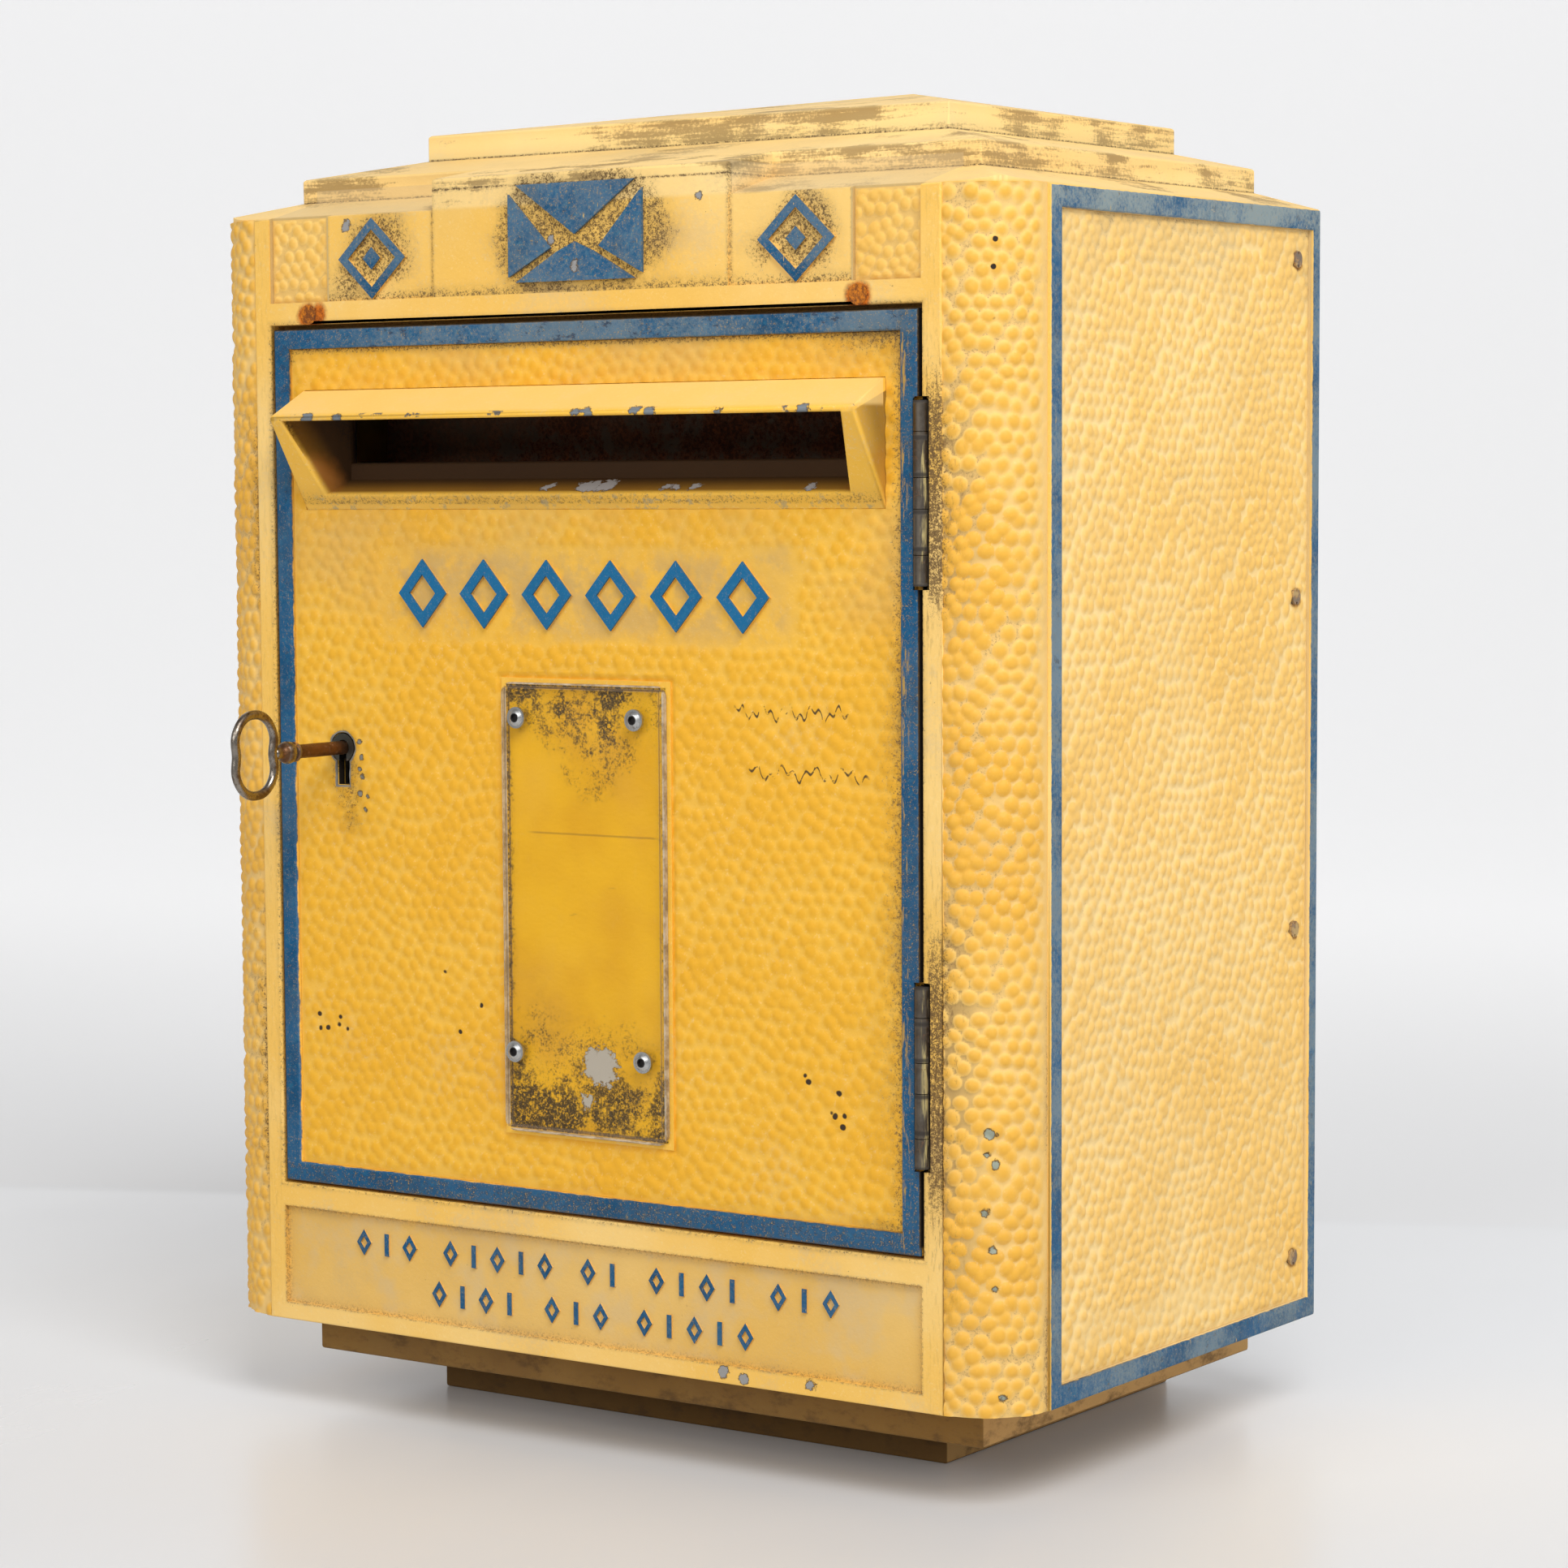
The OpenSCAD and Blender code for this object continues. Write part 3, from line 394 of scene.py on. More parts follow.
def housing_paint():
    c = Coats("housing_paint", YELLOW, CREAM)
    y = c.y - FRONT
    # roof: paler on top as dust and painted highlight, brushed streaks on the upright faces, dust on the
    # slopes
    roof = c.between(c.z, BODY_HIGH - 0.5, BODY_HIGH + 1.5)
    first, second = (c.between(c.z, bottom, bottom + 0.8) * c.between(c.z, top, top - 0.8)
                     for bottom, top in ROOF_STEPS)
    upright = first.high(second)
    streaks = c.noise(9, 6.0, 0.72, seed=21, stretch=(0.22, 0.22, 3.2))
    heavy = c.cloud(0.42, 0.66, 46, 3.0, 0.6, seed=22)
    # the whole roof painted paler cream: dust, and partly a painted highlight on the top
    c.coat(roof * 0.6, paint(250, 218, 152), 0.6)
    rubbed = streaks * 0.66 + c.grain * 0.34 + (heavy - 0.5) * 0.16 + c.between(c.x, -60, 90) * 0.06
    c.coat(c.between(rubbed, 0.50, 0.62) * upright * 0.66, paint(116, 90, 54), 0.75)
    smut = streaks * 0.55 + c.grain * 0.25 + c.fine * 0.20 + (heavy - 0.5) * 0.16
    c.coat(c.between(smut, 0.52, 0.64) * roof * (1 - upright) * 0.75, paint(126, 98, 60), 0.75)
    c.coat(c.between(c.patch + (c.grain - 0.5) * 0.6, 0.42, 0.66) * roof * (1 - upright) * 0.3,
           paint(218, 188, 132), 0.75)
    first, second = (c.between(abs(c.z - foot), 1.1, 0.1) for foot in ROOF_FEET)
    c.grime_and_shade(first.high(second) * roof, paint(88, 68, 44), 0.9, 0.9)
    # header: soot round the relief and along the ledge over the door
    header = c.rectangle(c.x, c.z, *HEADER)
    front = c.between(y, 3.5, 2.4)
    ledge = c.between(c.z, 420, 411.8) * c.between(header, -0.3, 0.2)
    c.grime_and_shade(ledge * front, paint(84, 66, 42), 0.85, 0.75)
    blot = c.spots([(-90, FRONT, 427, 17), (93, FRONT, 428, 17), (-14, FRONT, 432, 24),
                    (16, FRONT, 434, 25),
                    (78, FRONT, 421, 9), (-104, FRONT, 418, 10)], (c.patch - 0.5) * 26.0)
    c.grime_and_shade(c.between(blot, -7, 8) * front * c.between(header, 0, 1), paint(88, 66, 40), 0.9, 0.8)
    c.coat(c.between(y, 1.9, 2.1) * c.between(header, 0.0, 0.5) * 0.4, DUST, 0.7)
    # recess edges of the header fields, the strip round the door and the notice field
    shadow = c.between(abs(abs(c.x) - 64.5), 2.6, 0.3).high(c.between(abs(abs(c.x) - 114), 2.2, 0.3))
    c.grime_and_shade(shadow * c.between(header, 0, 1) * front, paint(92, 72, 46), 0.6, 0.7)
    opening = c.rectangle(c.x, c.z, *DOORWAY)
    c.grime_and_shade(c.between(abs(opening), 3.6, 0.4) * c.between(y, 14, 8), SOOT, 0.65, 0.55)
    hinge_side = c.between(c.x, 141, 144) * c.between(y, 4, 2)
    near_hinges = c.between(abs(c.z - 341), 62, 24).high(c.between(abs(c.z - 147), 80, 26))
    c.grime_and_shade(hinge_side * near_hinges, paint(98, 74, 46), 0.9, 1.05)
    strip = c.between(abs(c.x), 141.5, 143) * c.between(abs(c.x), 149.5, 148) * front
    vertical = c.cloud(0.50, 0.64, 1.3, 5.0, 0.7, seed=27, stretch=(1, 1, 0.16))
    c.coat(strip * vertical * (0.12 + 0.7 * c.between(c.x, 141, 143) * near_hinges), paint(104, 78, 46),
           0.75)
    halo = c.spots([(x, FRONT, z, reach) for x, z, reach in (*GUARD_SCREWS, (-118, 407, 4.2))],
                   c.ragged * 1.6)
    c.coat(c.between(halo, -1.2, 1.6) * front, c.mix(c.between(c.grain, 0.4, 0.62), paint(200, 106, 20),
                                                     paint(124, 60, 16)),
           0.85, 0.05)
    notice = c.rectangle(c.x, c.z, *NOTICE_FIELD)
    c.grime_and_shade(c.between(notice, 9, -1) * c.between(notice, -1.5, 0) * front, paint(128, 102, 64), 0.6, 0.8)
    c.coat(c.between(notice, 0, 2) * front * (0.25 + 0.45 * c.patch), paint(206, 164, 88), 0.66)
    c.coat(c.cloud(0.46, 0.66, 26, 4.0, 0.65, seed=24) * c.between(notice, 0, 2) * 0.45, DUST, 0.7)
    # base steps: brown with smudges, painted shade darker at the foot and painted light paler on the end
    # faces
    base = c.between(c.z, BODY_LOW + 0.3, BODY_LOW - 0.6)
    c.coat(base * (0.80 + 0.20 * c.patch), paint(124, 90, 44), 0.72)
    # painted shade: the foot darker towards the floor
    c.coat(base * c.between(c.z, 18, 15) * 0.55, paint(96, 66, 30), 0.75)
    # painted light: the end faces of the steps paler than the front
    lit_end_faces = c.between(abs(c.x), 147.2, 147.45).high(c.between(abs(c.x), 112.5, 112.75)
                                                        * c.between(c.z, 16.6, 16.3))
    c.coat(base * lit_end_faces * 0.85, paint(200, 158, 96), 0.66)
    smudge = c.cloud(0.48, 0.70, 15, 5.0, 0.7, seed=25, stretch=(1, 1, 1.8))
    c.coat(base * smudge * 0.75, paint(96, 72, 44), 0.8)
    # side frames, blue
    panel = c.rectangle(y, c.z, *SIDE_PANEL)
    rim = c.rectangle(y, c.z, *SIDE_FRAME)
    side = c.between(abs(c.x), BODY_HALF - 1.2, BODY_HALF - 0.7)
    faded = 0.55 + 0.35 * c.between(c.z, 425, 436)
    c.blue_trim(rim.low(-panel).low((side - 0.5) * 6), 0.6, faded)
    top_chips = c.cloud(0.63, 0.68, 6, 5.0, 0.8, seed=26, stretch=(1, 0.5, 1.4))
    top_edge = c.between(c.z, BODY_HIGH - 6, BODY_HIGH) * side
    c.coat(top_chips * top_edge * c.between(abs(c.y - FRONT - 92), 80, 30), CREAM, 0.55, -0.08)
    # dusty walls of the sunk fields
    c.coat(c.between(abs(panel), 1.6, 0.8) * (1 - side) * c.between(abs(c.x), 170, 171.5),
           paint(226, 198, 140), 0.7)
    corners = c.rectangle(abs(c.x), c.z, *CORNER_FIELD)
    c.coat(c.between(abs(corners), 1.0, 0.4) * c.between(y, 0.3, 0.6), paint(200, 170, 112), 0.7)
    # reliefs, blue on their tops
    proud = c.between(y, -0.15, -0.35)
    signs = proud.high(c.between(y, 1.3, 1.1) * c.between(y, 0.5, 0.7) * c.between(notice, 0, 1))
    c.blue_trim((signs - 0.5) * 4, 0.6, 0.10 + 0.18 * proud, 0.35 * proud)
    # chips
    c.chips(c.strewn(3, 1, (50, 120), (34, 38), 0, (1.6, 2.2))
            + c.strewn(4, 2, (-120, 60), (410, 444), 0, (1.2, 2.6)))
    inside = c.between(y, 4.4, 6.0) * c.between(abs(c.x), 168, 165) * c.between(c.z, 441,
            439) * c.between(c.z, 33, 34)
    c.coat(inside * 0.5, paint(140, 108, 62), 0.8)
    return c.done()


def merged_copy(node, flat_within):
    """A CAD node's mesh with its loose triangles joined to faces that are flat within some degrees."""
    bm = bmesh.new()
    bm.from_mesh(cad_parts[node].data)
    bmesh.ops.remove_doubles(bm, verts=bm.verts, dist=1e-6)
    bmesh.ops.dissolve_limit(bm, angle_limit=math.radians(flat_within), verts=bm.verts, edges=bm.edges)
    return bm


def softened(node, radius, kept_sharp):
    """Copy of a CAD node with its outward edges rounded, as a casting's are. Narrow faces get less,
    and edges inside a box of kept_sharp (x0, x1, y0, y1, z0, z1 in millimetres) stay as they are."""
    bm = merged_copy(node, 0.6)
    weight = bm.edges.layers.float.new("bevel_weight_edge")
    for edge in bm.edges:
        if len(edge.link_faces) != 2 or edge.calc_face_angle(0.0) < math.radians(14):
            continue
        edge.smooth = edge.calc_face_angle() < math.radians(24)
        narrow = min(f.calc_area() / max(e.calc_length() for e in f.edges) for f in edge.link_faces)
        middle = (edge.verts[0].co + edge.verts[1].co) / (2 * MM)
        detail = any(b[0] < middle.x < b[1] and b[2] < middle.y - FRONT < b[3] and b[4] < middle.z < b[5]
                     for b in kept_sharp)
        bent = edge.calc_face_angle() > math.radians(20)
        if edge.is_convex and edge.calc_length() > 5 * MM and bent and not detail:
            edge[weight] = min(1.0, 0.40 * narrow / (radius * MM), edge.calc_length() / (16 * MM))
            edge.smooth = True
    for face in bm.faces:
        face.smooth = any(edge[weight] > 0 or 0.01 < edge.calc_face_angle(0.0) < math.radians(24)
                          for edge in face.edges)
    piece = placed(node + "_softened", as_mesh(node + "_softened", bm))
    bevel = piece.modifiers.new("rounding", "BEVEL")
    bevel.limit_method, bevel.width, bevel.segments = "WEIGHT", radius * MM, 2
    bevel.use_clamp_overlap, bevel.loop_slide = False, True
    shading = piece.modifiers.new("shading", "WEIGHTED_NORMAL")
    shading.keep_sharp, shading.weight = True, 60
    return piece


housing = finished(softened("housing", 1.0, ((-141.5, 141.5, -2, 3, 411, 443),
                                             (-141, 141, -2, 2.4, 39, 77))), housing_paint())
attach(housing, "box")
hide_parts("housing")


# ---- Hammered fields: pebbled surfaces cast into columns, sides and header ----
# The same casting as the housing. The columns carry coarse pebbles, the sides a fine grain that
# runs in wavy rows. Paint has rubbed thin on the crowns, and dust lies in the grooves. The grooves
# also carry painted shade, darker on the header, and on the sides their paleness is partly a painted
# highlight.

def hammered_tree():
    """Sheet of pebbles over a rectangle (u across, v up, in millimetres), flat or bent round a column."""
    tree = bpy.data.node_groups.new("hammered_sheet", "GeometryNodeTree")
    tree.is_modifier = True
    for name, kind in (("Left", "Float"), ("Bottom", "Float"), ("Width", "Float"), ("Height", "Float"),
                       ("Across", "Int"), ("Up", "Int"), ("Pitch", "Float"), ("Row Pitch", "Float"),
                       ("Relief", "Float"),
                       ("Wander", "Float"), ("Order", "Float"), ("Fade", "Float"), ("Bend", "Float"),
                       ("Field Low", "Vector"), ("Field High", "Vector"),
                       ("Calm Low", "Vector"), ("Calm High", "Vector"), ("Calm", "Float"),
                       ("Seed", "Float"),
                       ("Paint", "Material")):
        tree.interface.new_socket(name, in_out="INPUT", socket_type="NodeSocket" + kind)
    tree.interface.new_socket("Sheet", in_out="OUTPUT", socket_type="NodeSocketGeometry")
    w = Works(tree)
    given = w.add("NodeGroupInput", out=None)
    size = {s.name: Val(w, s) for s in given.outputs if s.name}
    grid = w.add("GeometryNodeMeshGrid", {}, {"Size X": size["Width"], "Size Y": size["Height"],
                                              "Vertices X": size["Across"], "Vertices Y": size["Up"]})
    corner = w.add("ShaderNodeCombineXYZ", {}, {0: size["Left"] + size["Width"] / 2,
                                                1: size["Bottom"] + size["Height"] / 2})
    flat = w.vector("ADD", w.add("GeometryNodeInputPosition"), corner)
    u, v = w.axes(flat)[:2]
    seeded = w.add("ShaderNodeCombineXYZ", {}, {0: u, 1: v, 2: size["Seed"]})
    drift = w.add("ShaderNodeTexNoise", {}, {"Vector": w.vector("MULTIPLY", seeded, (0.028,) * 3),
                                             "Scale": 1.0,
                                             "Detail": 2.0, "Roughness": 0.5}, out=1)
    drift = w.vector("MULTIPLY", w.vector("SUBTRACT", drift, (0.5, 0.5, 0.5)), (1, 1, 0))
    moved = w.add("ShaderNodeVectorMath", {"operation": "SCALE"}, {0: drift, "Scale": size["Wander"]})
    cell = w.add("ShaderNodeCombineXYZ", {}, {0: size["Pitch"], 1: size["Row Pitch"] * 2.0, 2: 1.0})
    at = w.vector("DIVIDE", w.vector("ADD", flat, moved), cell)

    def nearest(shift):
        """Distance from the nearest pebble of one lattice, in pitches, and that pebble's own random value."""
        there = w.vector("ADD", at, shift)
        found = w.add("ShaderNodeTexVoronoi", {"voronoi_dimensions": "2D", "feature": "F1"},
                      {"Vector": there, "Scale": 1.0, "Randomness": size["Order"]}, out=None)
        off = w.vector("MULTIPLY", w.vector("SUBTRACT", there, Val(w, found.outputs["Position"])), cell)
        far = w.add("ShaderNodeVectorMath", {"operation": "LENGTH"}, {0: off}, out="Value")
        return far / size["Pitch"], w.add("ShaderNodeSeparateXYZ", {},
                                          {0: Val(w, found.outputs["Color"])})

    first, first_own = nearest((0.0, 0.0, 0.0))
    second, second_own = nearest((0.5, 0.5, 0.0))
    second_wins = w.between(first - second, -0.02, 0.02)
    own = first_own + (second_own - first_own) * second_wins
    apart = first.low(second) / 0.55
    crown = (1.0 - apart * apart).high(0.0) * (0.76 + 0.34 * own)
    fine = w.add("ShaderNodeTexNoise", {}, {"Vector": w.vector("MULTIPLY", seeded, (0.35,) * 3),
                                            "Scale": 1.0, "Detail": 3.0})

    def inside(area):
        """Distance inside the rectangle that two corner inputs give."""
        (u0, v0, _), (u1, v1, _) = w.axes(size[area + " Low"]), w.axes(size[area + " High"])
        return Finish.rectangle(u, v, u0, u1, v0, v1)

    fade = w.between(inside("Field"), 0.0, size["Fade"])
    in_calm = w.between(inside("Calm"), -1.0, 2.0)
    shown = crown * fade * (1.0 - in_calm * size["Calm"])
    out = shown * size["Relief"] + (fine - 0.5) * 0.16 * fade
    angle = u / size["Bend"].high(0.001)
    radius = size["Bend"] + out
    bent = w.add("ShaderNodeCombineXYZ", {}, {0: radius * angle.math("SINE"), 1: v,
                                              2: radius * angle.math("COSINE")})
    even = w.add("ShaderNodeCombineXYZ", {}, {0: u, 1: v, 2: out})
    is_bent = w.add("FunctionNodeCompare", {"operation": "GREATER_THAN"}, {0: size["Bend"], 1: 0.0})
    place = w.add("GeometryNodeSwitch", {"input_type": "VECTOR"},
                  {"Switch": is_bent, "False": even, "True": bent})
    kept = w.add("GeometryNodeStoreNamedAttribute", {"data_type": "FLOAT", "domain": "POINT"},
                 {"Geometry": grid, "Name": "crown", "Value": shown})
    set_place = w.add("GeometryNodeSetPosition", {}, {"Geometry": kept, "Position": place})
    real = w.add("GeometryNodeRealizeInstances", {}, {0: set_place})
    painted = w.add("GeometryNodeSetMaterial", {}, {"Geometry": real, "Material": size["Paint"]})
    w.add("NodeGroupOutput", {}, {0: painted}, out=None)
    return tree


HAMMERED = hammered_tree()


def from_tree(tree, name, values):
    """Runs a node tree with the given inputs and returns the plain mesh that it makes."""
    maker = placed(name + "_maker", bpy.data.meshes.new(name + "_start"))
    modifier = maker.modifiers.new("maker", "NODES")
    modifier.node_group = tree
    sockets = {s.name: s.identifier for s in tree.interface.items_tree if s.in_out == "INPUT"}
    for key, value in values.items():
        modifier[sockets[key]] = value
    evaluated = maker.evaluated_get(bpy.context.evaluated_depsgraph_get())
    mesh = bpy.data.meshes.new_from_object(evaluated)
    mesh.name = name
    bpy.data.objects.remove(maker)
    return mesh


def close_sheet(mesh, thick, bend=0.0):
    """Gives the open sheet side walls and a back, thick millimetres behind its base."""
    bm = bmesh.new()
    bm.from_mesh(mesh)
    for face in bm.faces:
        face.smooth = True
    rim = [e for e in bm.edges if e.is_boundary]
    grown = bmesh.ops.extrude_edge_only(bm, edges=rim)["geom"]
    behind = [g for g in grown if isinstance(g, bmesh.types.BMVert)]
    for edge in rim:
        edge.smooth = False
    for vert in behind:
        if bend:
            across = Vector((vert.co.x, 0, vert.co.z)).normalized() * (bend - thick)
            vert.co = Vector((across.x, vert.co.y, across.z))
        else:
            vert.co.z = -thick
    if bend:
        def arc(vert):
            return math.atan2(vert.co.x, vert.co.z)
        lowest, highest = min(v.co.y for v in behind), max(v.co.y for v in behind)
        first, last = min(map(arc, behind)), max(map(arc, behind))
        bottom = sorted((v for v in behind if v.co.y < lowest + 1e-3), key=arc)
        top = sorted((v for v in behind if v.co.y > highest - 1e-3), key=arc)
        left = sorted((v for v in behind if arc(v) < first + 1e-4 and lowest + 1e-3 < v.co.y < highest
                       - 1e-3),
                      key=lambda v: v.co.y)
        right = sorted((v for v in behind if arc(v) > last - 1e-4 and lowest + 1e-3 < v.co.y < highest
                        - 1e-3),
                       key=lambda v: -v.co.y)
        for i in range(len(bottom) - 1):
            start = left if i == 0 else []
            end = right if i == len(bottom) - 2 else []
            bm.faces.new([bottom[i], *start, top[i], top[i + 1], *end, bottom[i + 1]])
    else:
        bmesh.ops.triangle_fill(bm, use_beauty=False, edges=[e for e in bm.edges if e.is_boundary])
    bmesh.ops.recalc_face_normals(bm, faces=bm.faces)
    bm.to_mesh(mesh)
    bm.free()
    return mesh


def hammered_sheet(name, paint_on, rect, step, pitch, relief, wander, order, fade, field=None,
                   bend=0.0, calm=None, calmness=0.0, seed=0.0, thick=0.4, cut=None):
    """One closed pebbled sheet over rect = (u0, u1, v0, v1) in millimetres, in its own plane."""
    u0, u1, v0, v1 = rect
    f = field or rect
    c = calm or (0, 0, 0, 0)
    mesh = from_tree(HAMMERED, name, {
        "Left": u0, "Bottom": v0, "Width": u1 - u0, "Height": v1 - v0,
        "Across": int((u1 - u0) / step) + 2, "Up": int((v1 - v0) / step) + 2,
        "Pitch": pitch[0], "Row Pitch": pitch[1], "Relief": relief, "Wander": wander, "Order": order,
        "Fade": fade, "Bend": bend,
        "Field Low": (f[0], f[2], 0.0), "Field High": (f[1], f[3], 0.0),
        "Calm Low": (c[0], c[2], 0.0), "Calm High": (c[1], c[3], 0.0), "Calm": calmness,
        "Seed": seed, "Paint": paint_on})
    if cut:
        cut(mesh)
    return close_sheet(mesh, thick, bend)


def stand_up(mesh, along, out, origin):
    """Turns a sheet from (u, v, out) in millimetres to its place in metres: v points up."""
    turn = Matrix((along, (0, 0, 1), out)).transposed().to_4x4()
    mesh.transform(Matrix.Scale(MM, 4) @ Matrix.Translation(origin) @ turn)
    return mesh


def hammered_paint(name, pale, deep, groove, groove_depth=0.6, dirt=1.0, extra=None):
    c = Coats(name, pale, deep, dirt * 0.6)
    crown = c.add("ShaderNodeAttribute", {"attribute_type": "GEOMETRY", "attribute_name": "crown"},
                  out="Fac")
    c.coat(c.between(crown + (c.grain - 0.5) * 0.3, 0.30, 0.85) * 0.85, deep, 0.44)
    c.coat(c.between(crown + (c.grain - 0.5) * 0.35, 0.32, 0.02) * groove_depth, groove, 0.66)
    if extra:
        extra(c, crown)
    return c.done()


def column_dirt(c, crown):
    y = c.y - FRONT
    valley = c.between(crown, 0.35, 0.05)
    inner_edge = c.between(abs(c.x), 156, 149)
    near = c.cloud(0.36, 0.6, 60, 3.0, seed=31)
    hinge_rows = c.between(abs(c.z - 141), 95, 30).high(c.between(abs(c.z - 335), 60, 20) * 0.8)
    c.grime_and_shade(inner_edge * (0.35 + 0.65 * hinge_rows) * (0.4 + 0.6 * near), paint(84, 64, 42), 0.9, 0.85)
    c.coat(valley * hinge_rows * c.between(c.x, 166, 152) * c.between(c.x, 0, 1) * 0.5,
           paint(116, 86, 46), 0.75)
    runs = c.cloud(0.54, 0.66, 2.4, 5.0, 0.7, seed=32, stretch=(1, 1, 0.4))
    c.coat(runs * c.between(abs(c.x), 160, 150) * hinge_rows * 0.6, paint(112, 84, 50), 0.75)
    outer_edge = c.between(y, 21.5, 26.0)
    c.grime_and_shade(outer_edge * (0.35 + 0.65 * near), paint(120, 94, 60), 0.75, 0.7)
    # dirt in the valleys between pebbles, and painted shade there too
    c.grime_and_shade(valley * near, paint(140, 108, 66), 0.5, 0.6)
    specks = c.strewn(5, 3, (165, 169), (366, 424), 6, (0.7, 2.0)) + c.strewn(2, 4, (162, 168),
            (122, 128), 5, (0.8, 1.0))
    c.coat(c.between(c.spots(specks, c.ragged * 0.5), -0.1, 0.2), paint(46, 36, 28), 0.8, -0.3)
    c.chips(c.strewn(11, 5, (161, 169), (76, 134), 6, (1.0, 2.0))
            + c.strewn(2, 6, (166, 172), (40, 52), 8, (1.0, 1.8)),
            0.5, paint(150, 156, 140))


def side_dirt(c, crown):
    depth = c.y - FRONT
    field = c.rectangle(depth, c.z, 33.9, 214, 40.8, 434.5)
    near = c.cloud(0.38, 0.64, 48, 4.0, 0.6, seed=33)
    top = c.between(c.z, 380, 434)
    c.coat(near * (0.10 + 0.30 * top), paint(220, 190, 130), 0.66)
    c.grime_and_shade(c.between(field, 9, 0.5) * (0.45 + 0.35 * top) * near, paint(116, 90, 58), 0.7, 0.6)
    # dirt in the grooves, and painted shade there too, more near the top
    c.grime_and_shade(c.between(crown, 0.25, 0.0) * near * 0.8, paint(150, 118, 74), 0.5, 0.6)
    c.grime_and_shade(top * near * c.between(crown, 0.6, 0.1), paint(130, 104, 68), 0.5, 0.6)
    c.coat(c.cloud(0.45, 0.7, 70, 2.0, seed=34) * c.between(c.z, 150, 60) * 0.35, paint(232, 216, 176),
           0.62)
    rust = c.spots([(s * 173, FRONT + 204.5, z - 0.5, 3.4) for s in (-1, 1) for z in (57.6, 179.6, 301.6,
            423.6)],
                   c.ragged * 0.9)
    c.coat(c.between(rust, -0.8, 0.6) * 0.85, paint(150, 98, 42), 0.8)


column_paint = hammered_paint("column_paint", paint(238, 194, 106), paint(230, 172, 60),
                              paint(234, 196, 124), 0.75, 1.0,
                              column_dirt)
# the sides' pale grooves are dust, and partly a painted highlight round the pebbles
side_paint = hammered_paint("side_paint", paint(247, 210, 136), paint(240, 191, 98), paint(248, 217, 152),
                            0.7, 0.5,
                            side_dirt)
# the header's grooves are painted darker than its paint: painted shade
header_paint = hammered_paint("header_paint", paint(240, 196, 108), paint(234, 182, 84),
                              paint(214, 174, 102), 0.6, 1.2)

SIDES = ((1, "right"), (-1, "left"))
COLUMN_BASE = 24.95                       # radius that the pebbles of a column stand on
COLUMN_X, COLUMN_Y = 148.6, FRONT + 26.4  # middle of a column's curve
ARC = COLUMN_BASE * math.pi / 2


def on_side(side, near, far, bottom, top):
    return (near, far, bottom, top) if side > 0 else (-far, -near, bottom, top)


for side, name in SIDES:
    rect = on_side(side, 0.0, ARC, BODY_LOW + 0.1, BODY_HIGH + 0.2)
    column = hammered_sheet("hammered_column_" + name, column_paint, rect, 0.7, (5.5, 4.9), 1.20, 7.0,
                            0.36, 9.0,
                            field=(rect[0] - (7 if side > 0 else 0), rect[1] + (0 if side > 0 else 7),
                                   rect[2] - 8, rect[3] + 8),
                            bend=COLUMN_BASE, seed=4.0 + side)
    stand_up(column, (1, 0, 0), (0, -1, 0), (side * COLUMN_X, COLUMN_Y, 0))
    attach(placed(column.name, column), "box")

SIDE_FIELD = (34.0, 213.9, 40.9, 434.4)
CALM_PATCH = (48, 184, 49, 61)            # at the foot of the right side only
for side, name in SIDES:
    panel = hammered_sheet("hammered_side_" + name, side_paint, on_side(side, *SIDE_FIELD), 0.86,
                           (5.2, 4.5),
                           1.1, 8.0, 0.36, 2.6, calm=CALM_PATCH if side > 0 else None, calmness=0.35,
                           seed=9.0 + side)
    stand_up(panel, (0, side, 0), (side, 0, 0), (side * 172.95, FRONT, 0))
    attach(placed(panel.name, panel), "box")

for side, name in SIDES:
    patch = hammered_sheet("hammered_header_" + name, header_paint,
                           on_side(side, 114.1, 140.9, 411.6, 441.8),
                           0.6, (4.8, 4.2), 0.75, 5.0, 0.4, 1.6, seed=15.0 + side)
    stand_up(patch, (1, 0, 0), (0, -1, 0), (0, FRONT + 2.05, 0))
    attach(placed(patch.name, patch), "box")


# ---- Door: cast plate with border, hood and raised signs ----
# Cast in one, painted a deeper yellow, its border and signs blue. Letters have scuffed the sill,
# the hood's lip is chipped to the metal, and greasy dust films the top.

KEYHOLE_X, KEYHOLE_Z = -110.4, 249.0
KEYHOLE_ROUND, SLOT_HALF, SLOT_DOWN = 5.7, 3.0, 13.8   # its round top, and the slot below for the bit


def on_door(c):
    """The coats that every part of the door's yellow shares."""
    film = c.cloud(0.40, 0.66, 52, 4.0, 0.6, seed=41)
    above = c.between(c.z, 372, 392).high(c.between(abs(c.z - 318), 32, 8) * 0.85)
    c.coat(film * above * 0.55, paint(206, 168, 100), 0.64)
    face = c.between(c.y - FRONT, 3.6, 2.8)
    field = c.rectangle(c.x, c.z, -132.5, 132.5, 93.6, 394.6)
    right = c.between(c.x, 96, 131)
    c.grime_and_shade(c.between(field, 11, 1) * (0.35 + 0.65 * right) * face, paint(98, 76, 48), 0.75, 0.65)
    c.grime_and_shade(c.between(field, 5, 0.5) * c.between(c.z, 380, 392) * face, paint(84, 64, 40), 0.8, 0.75)
    c.grime_and_shade(c.between(c.x, 50, 128) * c.between(c.z, 374, 394) * face, paint(96, 74, 44), 0.7, 0.8)
    signs = c.rectangle(c.x, c.z, -84, 84, 293, 319)
    c.coat(c.between(signs + c.ragged * 4, -8, 4) * c.cloud(0.4, 0.62, 12, 4.0, 0.6, seed=42) * 0.5,
           paint(184, 156, 110), 0.7)
    return field


